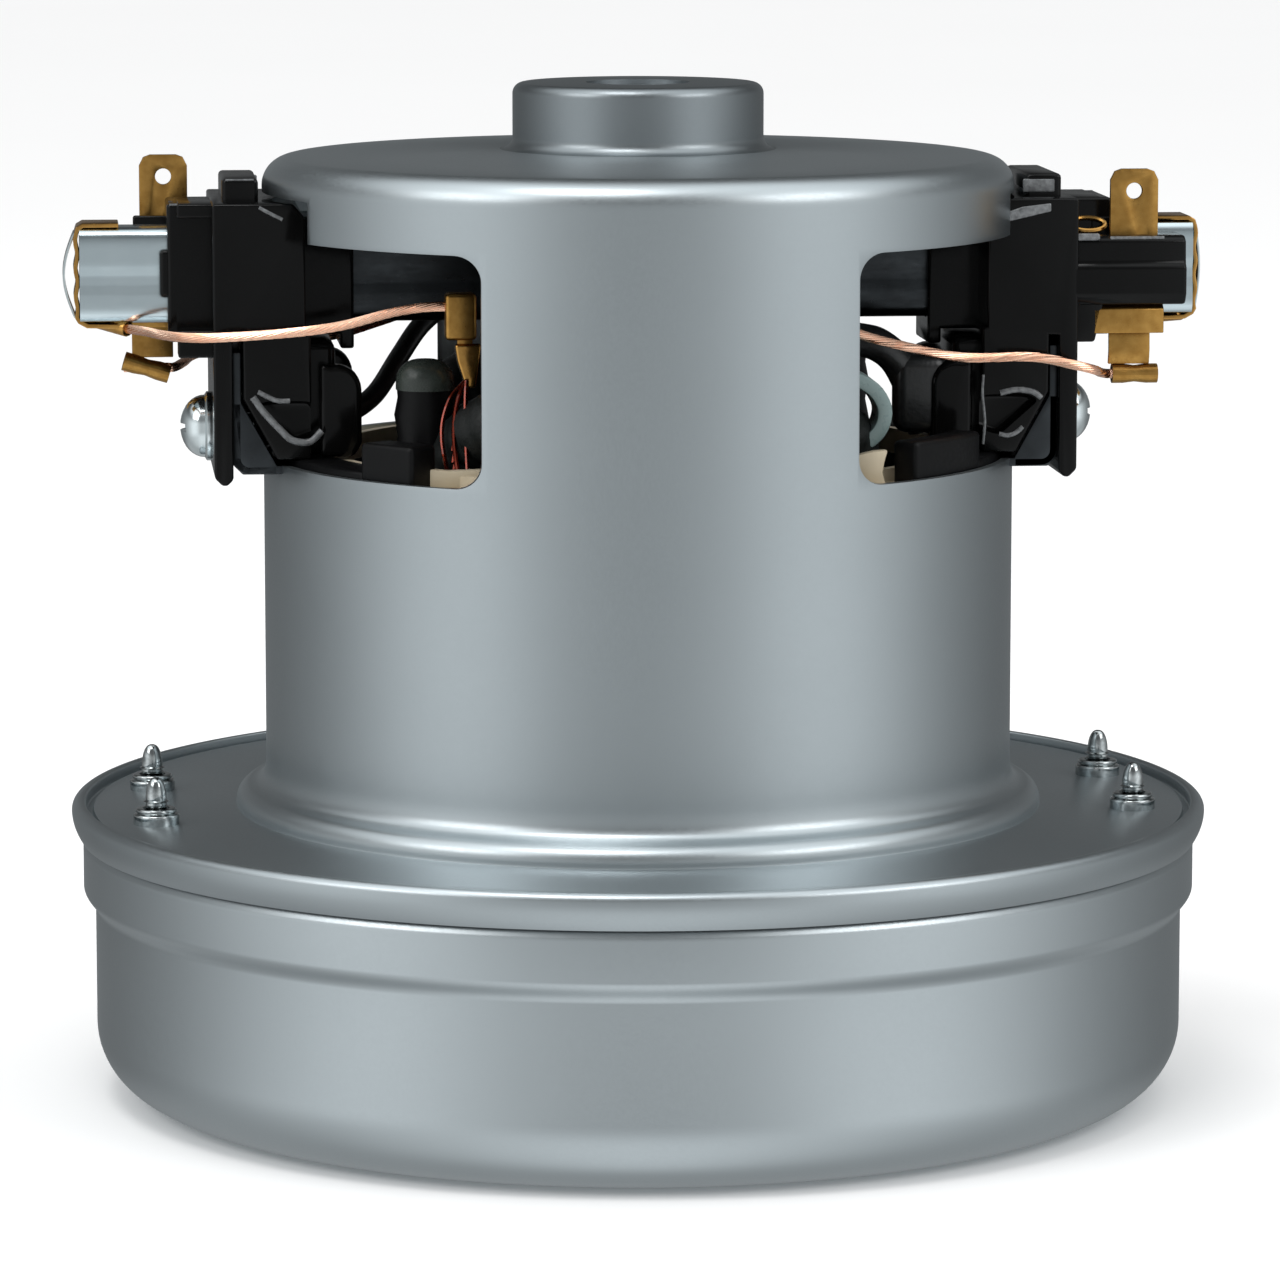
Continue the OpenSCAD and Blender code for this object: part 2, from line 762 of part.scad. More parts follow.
// Saddle coil round the front pole, its two legs in the field's pockets
module field_coil() {
    low = coil_low_z;
    upper_turn_z = stack_top + insulator_t + fit;
    lower_turn_z = stack_z - insulator_t - fit;
    leg_a = neck_a + 1.5;
    color([0.1, 0.1, 0.1]) {
        translate([0, 0, upper_turn_z])
            linear_extrude(coil_top_z - upper_turn_z)
                sector(coil_in, coil_out, -coil_end_a, coil_end_a);
        translate([0, 0, low])
            linear_extrude(lower_turn_z - low)
                sector(coil_in, coil_out, -coil_end_a, coil_end_a);
        for (side = [-1, 1])
            translate([0, 0, low + 1])
                linear_extrude(coil_top_z - low - 2)
                    sector(coil_in, coil_out, min(side * leg_a, side * coil_end_a),
                        max(side * leg_a, side * coil_end_a));
    }
}

module front_field_coil() {
    field_coil();
}

module back_field_coil() {
    rotate(180)
        field_coil();
}

module slot_liners() {
    a0 = coil_end_a + 0.2;
    a1 = a0 + 57.3 * liner_t / coil_in;
    color([0.5, 0.6, 0.6])
        for (pole = [0, 180], side = [-1, 1])
            rotate(pole)
                translate([0, 0, stack_z - 2])
                    linear_extrude(liner_top - stack_z + 2)
                        sector(coil_in - 0.5, coil_out + 0.4, min(side * a0, side * a1),
                            max(side * a0, side * a1));
}

module coil_terminal(place, bore_z) {
    w = terminal_w / 2;
    color([0.78, 0.6, 0.26])
        difference() {
            union() {
                box([place.x - w, place.y - terminal_d / 2, terminal_z],
                    [place.x + w, place.y + terminal_d / 2, terminal_z + terminal_h]);
                box([place.x - w + terminal_stem, place.y - terminal_stem / 2, coil_top_z],
                    [place.x + w - terminal_stem, place.y + terminal_stem / 2, terminal_z + 1]);
            }
            rod_x(place.x - 0.9, place.x + w + 1, place.y, bore_z, lead_r + fit);
        }
}

module coil_terminals() {
    for (side = [0, 180])
        rotate(side) {
            coil_terminal(terminal_a, brush_route[len(brush_route) - 1].z);
            coil_terminal(terminal_b, mains_route[len(mains_route) - 1].z);
        }
}

module sleeved_leads() {
    color([0.06, 0.06, 0.06])
        for (side = [0, 180])
            rotate(side)
                swept_tube(smooth(sleeve_route, 2), sleeve_r);
}

module shaft() {
    color([0.78, 0.8, 0.82]) {
        translate([0, 0, shaft_low_z])
            cylinder(r = shaft_r, h = shaft_top_z - shaft_low_z);
        translate([0, 0, lower_z + bearing_w])
            cylinder(r = collar_r, h = winding_low_z - lower_z - bearing_w - 0.5);
        translate([0, 0, hub_top])
            cylinder(r = collar_r, h = upper_z - hub_top);
    }
}

slot_pitch_r = armature_r - 4.6;
slot_r = min(1.7, slot_pitch_r * sin(180 / slot_count) - 0.35);

module armature_core() {
    color([0.4, 0.41, 0.43])
        translate([0, 0, stack_z])
            linear_extrude(stack_h)
                difference() {
                    circle(r = armature_r);
                    circle(r = shaft_r + press);
                    for (i = [0:slot_count - 1])
                        rotate(360 * i / slot_count) {
                            translate([slot_pitch_r, 0])
                                circle(r = slot_r);
                            translate([slot_pitch_r, -0.6])
                                square([5, 1.2]);
                        }
                }
}

module armature_winding() {
    in_r = shaft_r + 2;
    out_r = armature_r - 1.2;
    color([0.62, 0.25, 0.12]) {
        rotate_extrude()
            polygon([[in_r, stack_top], [out_r - 1, stack_top], [out_r, stack_top + 3],
                [out_r - 1.4, stack_top + 8], [commutator_r + 1.2, riser_z - 1.6],
                [commutator_r, riser_z - 0.1], [hub_r + 0.4, riser_z - 0.1],
                [in_r, riser_z - 1.4]]);
        rotate_extrude()
            polygon([[in_r, stack_z], [in_r, winding_low_z + 1], [in_r + 1.4, winding_low_z],
                [out_r - 3, winding_low_z], [out_r - 0.6, winding_low_z + 2.4],
                [out_r, stack_z - 2.4], [out_r - 1, stack_z]]);
        for (i = [0:slot_count - 1])
            rotate(360 * i / slot_count)
                translate([slot_pitch_r, 0, stack_z - 1])
                    cylinder(r = slot_r - 0.3, h = stack_h + 2, $fn = 24);
    }
}

module commutator_bars() {
    color([0.8, 0.5, 0.32])
        difference() {
            union() {
                tube(hub_r + press, commutator_r, commutator_z - 0.1, commutator_z + commutator_l);
                tube(hub_r + press, commutator_r + riser_out, riser_z, commutator_z);
            }
            for (i = [0:slot_count / 2 - 1])
                rotate(180 * (2 * i + 1) / slot_count)
                    translate([-commutator_r - 5, -0.25, riser_z - 1])
                        cube([2 * commutator_r + 10, 0.5, commutator_l + riser_h + 2]);
        }
}

module commutator_hub() {
    color([0.3, 0.16, 0.1])
        tube(shaft_r + press, hub_r, riser_z, hub_top);
}

module fan_back_disc() {
    color([0.78, 0.8, 0.82])
        tube(shaft_r + press, fan_r, back_disc_z, back_disc_z + fan_sheet);
}

// Slanted front disc of the fan, with a short collar round the inlet's lip
front_line = [
    [eye_r, eye_z], [eye_r + fan_sheet, eye_z], [eye_r + fan_sheet, eye_top - fan_sheet / 2],
    [fan_r, front_out_z], [fan_r, front_out_z + fan_sheet], [eye_r, eye_top + fan_sheet / 2]
];

module fan_front_disc() {
    color([0.78, 0.8, 0.82])
        rotate_extrude()
            polygon(front_line);
}

module fan_blades() {
    edge = fan_r - 0.4;
    color([0.74, 0.76, 0.78])
        difference() {
            translate([0, 0, eye_z])
                linear_extrude(back_disc_z - press - eye_z)
                    for (i = [0:blade_count - 1])
                        rotate(360 * i / blade_count)
                            vane(blade_in_r, edge, fan_r * 0.48, fan_r * 0.56, fan_sheet);
            rotate_extrude()
                polygon([[0, eye_z - 1], [fan_r + 1, eye_z - 1],
                    [fan_r + 1, front_out_z + fan_sheet + press],
                    [fan_r, front_out_z + fan_sheet + press],
                    [eye_r, eye_top + fan_sheet / 2 + press], [0, eye_top + fan_sheet / 2 + press]]);
        }
}

module fan_spacer() {
    color([0.76, 0.78, 0.8])
        tube(shaft_r + press, spacer_r, back_disc_z + fan_sheet, lower_z);
}

module fan_washer() {
    color([0.8, 0.82, 0.84])
        tube(shaft_r + press, 2.2 * shaft_r, back_disc_z - washer_t, back_disc_z);
}

module fan_nut() {
    low = back_disc_z - washer_t - nut_h;
    color([0.8, 0.82, 0.84])
        difference() {
            translate([0, 0, low])
                cylinder(r = nut_r, h = nut_h, $fn = 6);
            translate([0, 0, low - 1])
                cylinder(r = shaft_r + press, h = nut_h + 2);
        }
}

module brush_holder() {
    y = holder_y;
    channel = fit;
    color([0.06, 0.06, 0.06])
        difference() {
            union() {
                // Mounting plate, block round the tube and its bevelled upper corner
                side_plate([[plate_x, plate_z0 + plate_bevel], [plate_x + 1, plate_z0],
                    [plate_x1 - 1, plate_z0], [plate_x1, plate_z0 + plate_bevel],
                    [plate_x1, plate_z1],
                    [block_x0 + 3, plate_z1], [block_x0, plate_z1 - 4], [block_x0, block_z0],
                    [plate_x, block_z0]], -y, y);
                // Raised block on top, just outside the body
                box([body_r + raised_gap, -raised_w / 2, plate_z1 - 1],
                    [plate_x, raised_w / 2, raised_z]);
                // Collar round the tube outside the plate
                box([plate_x1 - 1, -collar_y, block_z0],
                    [collar_x1, collar_y, plate_z1 - 0.4]);
                // Snout round the tube inside the body
                box([snout_x0, -tube_w / 2 - snout_wall, tube_z0 - snout_wall],
                    [block_x0 + 1, tube_w / 2 + snout_wall, tube_z1 + snout_wall]);
                // Lower box that reaches in over the window's sill
                for (side = [0, 1])
                    side_plate([[tongue_x0, box_z0], [box_x1, box_corner_z],
                        [box_x1, block_z0 + 1], [box_x0 + 1.5, block_z0 + 1],
                        [box_x0, block_z0 - 3], [snout_x0, box_slope_z],
                        [snout_x0, box_z0]],
                        side == 0 ? -y : y - cheek_t, side == 0 ? cheek_t - y : y);
                box([box_x0, -y + 1, box_z0], [box_x0 + 2, y - 1, block_z0 + 1]);
                // Arm that carries the terminal
                box([plate_x1 - 1, arm_y0, arm_z0], [arm_x1, arm_y1, arm_z1]);
            }
            // Channel for the brush tube
            box([snout_x0 - 1, -tube_w / 2 - channel, tube_z0 - channel],
                [collar_x1 + 1, tube_w / 2 + channel, tube_z1 + channel]);
            // Hole for the fixing screw
            rod_x(plate_x - 1, plate_x1 + 1, 0, holder_screw_z, holder_screw_r + 0.2);
            // Slot for the terminal
            box([tab_x - tab_w / 2 - fit, tab_y - tab_t / 2 - fit, arm_z0 - 1],
                [tab_x + tab_w / 2 + fit, tab_y + tab_t / 2 + fit, arm_z1 + 1]);
        }
}

module brush_tube() {
    wall = tube_wall;
    color([0.78, 0.81, 0.84])
        difference() {
            box([tube_x0, -tube_w / 2, tube_z0], [tube_x1, tube_w / 2, tube_z1]);
            box([tube_x0 - 1, -tube_w / 2 + wall, tube_z0 + wall],
                [tube_x1 + 1, tube_w / 2 - wall, tube_z1 - wall]);
        }
}

module carbon_brush() {
    z0 = brush_z - brush_h / 2;
    color([0.22, 0.21, 0.22])
        difference() {
            box([brush_x - 1.5, -brush_w / 2, z0], [brush_x + brush_l, brush_w / 2, z0 + brush_h]);
            translate([0, 0, z0 - 1])
                cylinder(r = brush_x, h = brush_h + 2);
        }
}

// Helix of the brush spring along X, from the brush to the end clip, with 8 points a turn
spring_x0 = brush_x + brush_l + spring_wire_r + fit;
spring_x1 = tube_x1 - spring_wire_r - fit;
spring_last = 8 * spring_turns;
spring_points = [for (i = [0:spring_last])
    let (a = 45 * i, s = i / spring_last)
    [spring_x0 + (spring_x1 - spring_x0) * s, spring_r * cos(a), brush_z + spring_r * sin(a)]];

// Least gap between neighbouring turns, measured on the points
spring_gap = min([for (i = [0:spring_last - 6], j = [i + 6:min(i + 10, spring_last)])
    norm(spring_points[j] - spring_points[i])]) - 2 * spring_wire_r;
echo(spring_gap = spring_gap);

module brush_spring() {
    color([0.7, 0.72, 0.74])
        swept_tube(spring_points, spring_wire_r, 6);
}

module end_clip() {
    w = clip_w / 2;
    x1 = tube_x1 + clip_t;
    color([0.8, 0.62, 0.3])
        difference() {
            union() {
                box([clip_x0, -w, tube_z1], [x1, w, tube_z1 + clip_t]);
                box([clip_x0 + 1.5, -w, tube_z0 - clip_t], [x1, w, tube_z0]);
                box([tube_x1, -w, tube_z0 - clip_t], [x1, w, tube_z1 + clip_t]);
                intersection() {
                    translate([x1 + clip_bulge - clip_bulge_r, w, brush_z])
                        rotate([90, 0, 0])
                            cylinder(r = clip_bulge_r, h = clip_w);
                    box([tube_x1, -w, tube_z0], [x1 + 2, w, tube_z1]);
                }
                translate(clip_crimp)
                    rotate([0, 0, clip_crimp_a])
                        rod_x(-crimp_l / 2, crimp_l / 2, 0, 0, crimp_r);
            }
            translate(clip_crimp)
                rotate([0, 0, clip_crimp_a])
                    rod_x(-crimp_l / 2 - 1, crimp_l / 2 + 1, 0, 0, lead_r + fit);
        }
}

module terminal() {
    y0 = tab_y - tab_t / 2;
    y1 = tab_y + tab_t / 2;
    x0 = tab_x - tab_w / 2;
    x1 = tab_x + tab_w / 2;
    top = arm_z1 + tab_h;
    bar_x0 = tab_x - bar_w / 2;
    bar_x1 = tab_x + bar_w / 2;
    color([0.76, 0.58, 0.24])
        difference() {
            union() {
                side_plate([[x0, arm_z0 - tab_t], [x1, arm_z0 - tab_t], [x1, top - tab_bevel],
                    [x1 - tab_bevel, top], [x0 + tab_bevel, top], [x0, top - tab_bevel]], y0, y1);
                // Folded bar under the arm
                box([bar_x0, tab_y - bar_y, arm_z0 - tab_t], [bar_x1, tab_y + bar_y, arm_z0]);
                box([bar_x0, tab_y - bar_y, arm_z0 - bar_h],
                    [bar_x1, tab_y - bar_y + tab_t, arm_z0]);
                box([bar_x0, tab_y + bar_y - tab_t, arm_z0 - bar_h],
                    [bar_x1, tab_y + bar_y, arm_z0]);
                // Strap down to the crimp
                box([bar_x1 - strap_w, y0, strap_z + lead_r + fit], [bar_x1, y1, arm_z0 - fit]);
                rod_x(bar_x1 - strap_w, bar_x1, tab_y, strap_z, crimp_r);
            }
            translate([tab_x, y1 + 1, top - tab_hole_drop])
                rotate([90, 0, 0])
                    cylinder(r = tab_hole_r, h = tab_t + 2);
            rod_x(bar_x1 - strap_w - 1, bar_x1 + 1, tab_y, strap_z, lead_r + fit);
        }
}

module holder_screws() {
    rise = [for (i = [0:6]) let (a = 15 * i)
        [holder_head_r * cos(a), holder_head_h * (0.35 + 0.65 * sin(a))]];
    color([0.82, 0.84, 0.86])
        for (side = [0, 180])
            rotate(side)
                difference() {
                    union() {
                        translate([plate_x1, 0, holder_screw_z])
                            rotate([0, 90, 0])
                                rotate_extrude()
                                    polygon(concat([[0, 0], [holder_head_r, 0]], rise));
                        rod_x(plate_x - sheet - 2.5, plate_x1 + 0.2, 0, holder_screw_z,
                            holder_screw_r);
                    }
                    for (size = [[screw_slot_w, screw_slot_l], [screw_slot_l, screw_slot_w]])
                        box([plate_x1 + holder_head_h - 1, -size.x / 2,
                            holder_screw_z - size.y / 2],
                            [plate_x1 + holder_head_h + 1, size.x / 2,
                            holder_screw_z + size.y / 2]);
                }
}

module brush_lead() {
    color([0.85, 0.55, 0.4])
        swept_tube(smooth(brush_route, 2), lead_r);
}

module mains_lead() {
    color([0.85, 0.55, 0.4])
        swept_tube(smooth(mains_route, 2), lead_r);
}

motor_housing();
fan_cover();
diffuser();
bearing_plate();
flange_screws();
upper_bearing_cushion();
bearing_retainer();
preload_washer();
outer_race(upper_z);  // upper_outer_race
ball_set(upper_z);  // upper_balls
cage(upper_z);  // upper_cage
inner_race(upper_z);  // upper_inner_race
outer_race(lower_z);  // lower_outer_race
ball_set(lower_z);  // lower_balls
cage(lower_z);  // lower_cage
inner_race(lower_z);  // lower_inner_race
stator_core();
end_insulators();
front_field_coil();
back_field_coil();
slot_liners();
coil_terminals();
sleeved_leads();
shaft();
armature_core();
armature_winding();
commutator_bars();
commutator_hub();
fan_back_disc();
fan_front_disc();
fan_blades();
fan_spacer();
fan_washer();
fan_nut();
on_side(true) brush_holder();  // left_brush_holder
on_side(false) brush_holder();  // right_brush_holder
on_side(true) brush_tube();  // left_brush_tube
on_side(false) brush_tube();  // right_brush_tube
on_side(true) carbon_brush();  // left_carbon_brush
on_side(false) carbon_brush();  // right_carbon_brush
on_side(true) brush_spring();  // left_brush_spring
on_side(false) brush_spring();  // right_brush_spring
on_side(true) end_clip();  // left_end_clip
on_side(false) end_clip();  // right_end_clip
on_side(true) terminal();  // left_terminal
on_side(false) terminal();  // right_terminal
holder_screws();
on_side(true) brush_lead();  // left_brush_lead
on_side(false) brush_lead();  // right_brush_lead
on_side(true) mains_lead();  // left_mains_lead
on_side(false) mains_lead();  // right_mains_lead
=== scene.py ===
"""Looks of the vacuum motor unit: drawn steel case, brush gear, leads and windings, on a pale stage.

Lengths in the classes are millimetres in the part's own frame, and MM turns them to metres.
The brush gear is drawn for the right holder and turned half a turn about Z for the left one.
"""

import json
import logging
import math
from collections.abc import Iterable, Iterator, Sequence
from contextlib import contextmanager
from dataclasses import dataclass, field
from enum import Enum

import bpy
from mathutils import Matrix, Vector

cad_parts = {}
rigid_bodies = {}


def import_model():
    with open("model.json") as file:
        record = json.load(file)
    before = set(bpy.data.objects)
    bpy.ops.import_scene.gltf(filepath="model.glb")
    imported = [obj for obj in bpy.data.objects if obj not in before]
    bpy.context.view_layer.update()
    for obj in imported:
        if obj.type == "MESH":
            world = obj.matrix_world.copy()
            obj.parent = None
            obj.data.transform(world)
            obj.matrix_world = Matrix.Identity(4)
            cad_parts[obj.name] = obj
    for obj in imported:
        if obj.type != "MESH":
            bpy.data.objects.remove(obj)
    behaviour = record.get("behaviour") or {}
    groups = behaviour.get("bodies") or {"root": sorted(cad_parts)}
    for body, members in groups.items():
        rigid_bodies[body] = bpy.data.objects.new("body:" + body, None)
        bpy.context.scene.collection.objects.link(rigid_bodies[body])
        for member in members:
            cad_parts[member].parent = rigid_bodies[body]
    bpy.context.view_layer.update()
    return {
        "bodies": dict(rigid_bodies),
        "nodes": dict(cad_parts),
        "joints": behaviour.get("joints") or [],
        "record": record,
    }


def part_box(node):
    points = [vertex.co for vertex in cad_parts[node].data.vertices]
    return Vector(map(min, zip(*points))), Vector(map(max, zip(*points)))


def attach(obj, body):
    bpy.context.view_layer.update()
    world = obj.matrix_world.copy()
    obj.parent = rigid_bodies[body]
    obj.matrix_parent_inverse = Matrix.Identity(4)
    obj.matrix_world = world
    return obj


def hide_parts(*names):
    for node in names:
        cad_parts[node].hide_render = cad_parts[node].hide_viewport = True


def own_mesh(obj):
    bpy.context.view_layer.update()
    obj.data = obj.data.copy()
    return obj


LOG = logging.getLogger("vacuum_motor")
# One millimetre in metres
MM = 0.001
# Vertices that lie nearer than this, in metres, become one
WELD = 2e-7
# Most of a noise texture lies between these two values
NOISE_LOW, NOISE_HIGH = 0.25, 0.75
Point = Sequence[float]
Outline = list[tuple[float, float]]


# Colour and material helpers


def linear(colour: str) -> tuple[float, float, float, float]:
    """Turns an sRGB hex colour into linear RGBA.

    Args:
        colour: Six hex digits, such as "a1b2c3".

    Returns:
        Linear red, green and blue, and an alpha of 1.
    """
    parts = [int(colour[i : i + 2], 16) / 255 for i in (0, 2, 4)]
    rgb = [p / 12.92 if p <= 0.04045 else ((p + 0.055) / 1.055) ** 2.4 for p in parts]
    return rgb[0], rgb[1], rgb[2], 1.0


def add_node(
    tree: bpy.types.NodeTree,
    kind: str,
    settings: dict[str, object] | None = None,
    values: Sequence[object] = (),
    **inputs: object,
) -> bpy.types.Node:
    """Adds a node with its settings, input values and links.

    Args:
        tree: The node tree that gets the node.
        kind: The node's Blender type name.
        settings: Attributes of the node itself.
        values: What the sockets take in their order, where they share a name.
        inputs: What the sockets take by their names, with _ for spaces.

    Returns:
        The new node. An output socket is linked, and any other value is set.
    """
    node = tree.nodes.new(kind)
    for name, value in (settings or {}).items():
        setattr(node, name, value)
    named = [(node.inputs[name.replace("_", " ")], value) for name, value in inputs.items()]
    for socket, value in [*zip(node.inputs, values), *named]:
        if isinstance(value, bpy.types.NodeSocket):
            tree.links.new(value, socket)
        else:
            socket.default_value = value
    return node


def reckon(tree: bpy.types.NodeTree, operation: str, *values: object) -> bpy.types.NodeSocket:
    """Result of a math node on numbers or output sockets."""
    return add_node(tree, "ShaderNodeMath", {"operation": operation}, values).outputs["Value"]


def reckon_vector(tree: bpy.types.NodeTree, operation: str, *values: object) -> bpy.types.NodeSocket:
    """Result of a vector math node: a number for DOT_PRODUCT, and a vector for the others."""
    node = add_node(tree, "ShaderNodeVectorMath", {"operation": operation}, values)
    return node.outputs["Value" if operation == "DOT_PRODUCT" else "Vector"]


def remap(
    tree: bpy.types.NodeTree,
    value: bpy.types.NodeSocket,
    start: float,
    stop: float,
    low: float = 0.0,
    high: float = 1.0,
    kind: str = "LINEAR",
) -> bpy.types.NodeSocket:
    """Maps a value from one range to another.

    Args:
        tree: The node tree that gets the node.
        value: The value, as an output socket.
        start: The value that becomes low.
        stop: The value that becomes high.
        low: First end of the new range.
        high: Its other end.
        kind: LINEAR or SMOOTHSTEP.

    Returns:
        The mapped value, as an output socket.
    """
    node = add_node(
        tree, "ShaderNodeMapRange", {"interpolation_type": kind},
        Value=value, From_Min=start, From_Max=stop, To_Min=low, To_Max=high,
    )  # fmt: skip
    return node.outputs["Result"]


@dataclass(frozen=True)
class Finish:
    """One real material and the way its surface was made.

    Attributes:
        name: What it is, as a maker would say it.
        colour: sRGB hex of its main tone.
        shade: sRGB hex of the tone that patches of it drift to.
        metallic: 1 for bare metal, 0 for everything else.
        roughness: Mean roughness.
        rough_drift: How far the roughness drifts either way.
        grain: Size of the surface grain in millimetres.
        relief: Height of that grain in millimetres.
        patch: Size of the colour patches in millimetres.
        stretch: How many times finer the grain is along X, Y and Z.
        coat: Weight of a clear skin, such as varnish.
        specular: Specular level of a non-metal.
    """

    name: str
    colour: str
    shade: str
    metallic: float = 0.0
    roughness: float = 0.4
    rough_drift: float = 0.05
    grain: float = 0.3
    relief: float = 0.004
    patch: float = 6.0
    stretch: tuple[float, float, float] = (1.0, 1.0, 1.0)
    coat: float = 0.0
    specular: float = 0.5

    def material(self) -> bpy.types.Material:
        """Builds the material at its first use.

        Returns:
            The material, the same one each time.
        """
        known = bpy.data.materials.get(self.name)
        if known is not None:
            return known
        made = bpy.data.materials.new(self.name)
        made.use_nodes = True
        tree = made.node_tree
        tree.nodes.clear()
        self._build(tree)
        return made

    def _build(self, tree: bpy.types.NodeTree) -> None:
        """Fills the node tree: patches for colour, grain for roughness and relief.

        Args:
            tree: The material's empty node tree.
        """
        place = add_node(tree, "ShaderNodeTexCoord").outputs["Object"]
        scaled = add_node(tree, "ShaderNodeMapping", Vector=place, Scale=self.stretch).outputs["Vector"]
        patch_scale, grain_scale = 1 / (self.patch * MM), 1 / (self.grain * MM)
        patches = add_node(tree, "ShaderNodeTexNoise", Vector=place, Scale=patch_scale, Detail=3.0)
        grains = add_node(tree, "ShaderNodeTexNoise", Vector=scaled, Scale=grain_scale, Detail=2.0)
        grain = grains.outputs["Fac"]
        tone = add_node(tree, "ShaderNodeMix", {"data_type": "RGBA"}, Factor=patches.outputs["Fac"])
        tone.inputs["A"].default_value = linear(self.colour)
        tone.inputs["B"].default_value = linear(self.shade)
        smoothest, roughest = self.roughness - self.rough_drift, self.roughness + self.rough_drift
        rough = remap(tree, grain, NOISE_LOW, NOISE_HIGH, smoothest, roughest)
        bump = add_node(tree, "ShaderNodeBump", Height=grain, Strength=1.0, Distance=self.relief * MM)
        shader = add_node(
            tree,
            "ShaderNodeBsdfPrincipled",
            Base_Color=tone.outputs["Result"],
            Metallic=self.metallic,
            Roughness=rough,
            Normal=bump.outputs["Normal"],
            Coat_Weight=self.coat,
            Specular_IOR_Level=self.specular,
        )
        add_node(tree, "ShaderNodeOutputMaterial", Surface=shader.outputs["BSDF"])


# Drawn steel sheet with a satin zinc coat: fine sand-like grain, soft broad highlights
SATIN_ZINC = Finish("satin_zinc_sheet", "b2b9bc", "acb3b6", 1.0, 0.36, 0.04, 0.35, 0.0012, 14.0)
# The same sheet on the cover in a slightly lighter tone: painted light
COVER_PAINTED_LIGHT = Finish("cover_sheet_painted_light", "bcc3c6", "b6bdc0", 1.0, 0.36, 0.04, 0.35, 0.0012, 14.0)
# Bright zinc plating on screws and drawn collars: hard small highlights
BRIGHT_ZINC = Finish("bright_zinc_plating", "e4ebec", "cfd8da", 1.0, 0.14, 0.05, 0.5, 0.001, 2.0)
# The same plating on the small screws, with dark patches between the bright places: painted reflections
REFLECTION_PAINTED_ZINC = Finish("plating_painted_reflections", "eef3f3", "3c4144", 1.0, 0.12, 0.05, 0.5, 0.001, 0.9)
# Folded strip with a bright zinc coat: bluish, with faint rolling lines along its length
TUBE_ZINC = Finish("zinc_coated_strip", "d4e0e4", "c2d0d5", 1.0, 0.2, 0.06, 0.5, 0.001, 5.0, (0.2, 1.0, 1.0))
# Dark grey zinc: painted shade on the brush tube's inner end inside the can, and on the tongues and their
# cheeks
SHADE_PAINTED_ZINC = Finish(
    "zinc_with_painted_shade", "4c5053", "303234", 1.0, 0.34, 0.08, 0.4, 0.002, 4.0, (0.3, 1.0, 1.0)
)
# Moulded phenolic, glossy as it left the mould, with a faint orange-peel skin
PHENOLIC = Finish(
    "moulded_black_phenolic", "070707", "0c0c0c", 0.0, 0.16, 0.05, 1.6, 0.004, 5.0, specular=0.16
)
# Light grey satin phenolic on thin ribs and bars: painted highlights along the holder's glossy edges
HIGHLIGHT_PAINTED_PHENOLIC = Finish("phenolic_painted_highlight", "85888a", "0c0c0d", 0.0, 0.24, 0.1, 0.8, 0.01, 0.55)
# The same sheet on the bearing boss in a darker grey: painted shade
BOSS_PAINTED_SHADE = Finish("boss_sheet_painted_shade", "8d9396", "888e91", 1.0, 0.36, 0.04, 0.35, 0.0012, 14.0)
# Varnished tape bound over the coil ends: oily, greenish black
GREEN_TAPE = Finish("oiled_green_tape", "3a413c", "1c201e", 0.0, 0.3, 0.1, 0.5, 0.02, 2.0, specular=0.35)
# Moulded nylon of the insulators, black and dull
BLACK_NYLON = Finish(
    "black_insulator_nylon", "070708", "0d0d0e", 0.0, 0.4, 0.08, 0.5, 0.006, 4.0, specular=0.15
)
# Older brass of the push-on tab: browner and duller
TAB_BRASS = Finish("tarnished_brass", "cfa25a", "94692f", 1.0, 0.34, 0.08, 0.3, 0.004, 1.2)
# Spring brass of the end clip, brighter
CLIP_BRASS = Finish("spring_brass", "d2a35c", "a5773a", 1.0, 0.22, 0.08, 0.5, 0.002, 1.4)
# Bare copper wire, drawn and stranded, pinkish
COPPER = Finish("stranded_copper", "fbd2b8", "e8ab8b", 1.0, 0.24, 0.08, 0.3, 0.001, 3.0)
# Enamelled magnet wire: red-brown varnish over copper
MAGNET_WIRE = Finish("enamelled_magnet_wire", "7a2c1c", "5c2014", 1.0, 0.3, 0.08, 0.4, 0.001, 2.0, coat=0.5)
# Turned copper of the commutator
COMMUTATOR = Finish("turned_copper", "c27c5c", "8a5038", 1.0, 0.26, 0.1, 0.25, 0.002, 3.0, (1.0, 1.0, 6.0))
# Cotton tape wound round the coils and soaked in varnish: matt, greenish black
TAPE = Finish(
    "varnished_cotton_tape", "0e1110", "181c1b", 0.0, 0.55, 0.12, 0.5, 0.05, 2.0, coat=0.05, specular=0.25
)
# Woven glass sleeve on the leads, black
SLEEVE = Finish("black_glass_sleeve", "101112", "1c1e1f", 0.0, 0.38, 0.1, 0.45, 0.03, 2.0, coat=0.2)
# Polyester slot film: grey-green and slightly glossy
FILM = Finish("slot_liner_film", "8a9d9c", "748887", 0.0, 0.3, 0.06, 0.8, 0.004, 4.0)
# Moulded nylon end frame of the field: cream
CREAM = Finish("cream_nylon", "cfc4ac", "bcae94", 0.0, 0.5, 0.08, 0.5, 0.006, 5.0)
# Punched lamination stack: dark scale with fine layers across Z
LAMINATION = Finish(
    "punched_laminations", "5c5f62", "44474a", 1.0, 0.46, 0.1, 0.5, 0.03, 3.0, (0.1, 0.1, 4.0)
)
# Ground bearing steel and ground shaft
GROUND_STEEL = Finish("ground_steel", "c6cacc", "b4b9bc", 1.0, 0.18, 0.06, 0.2, 0.001, 4.0, (1.0, 1.0, 5.0))
# Pressed aluminium sheet of the fan
FAN_ALUMINIUM = Finish("pressed_aluminium", "b9bdc0", "a8adb0", 1.0, 0.32, 0.06, 0.4, 0.002, 8.0)
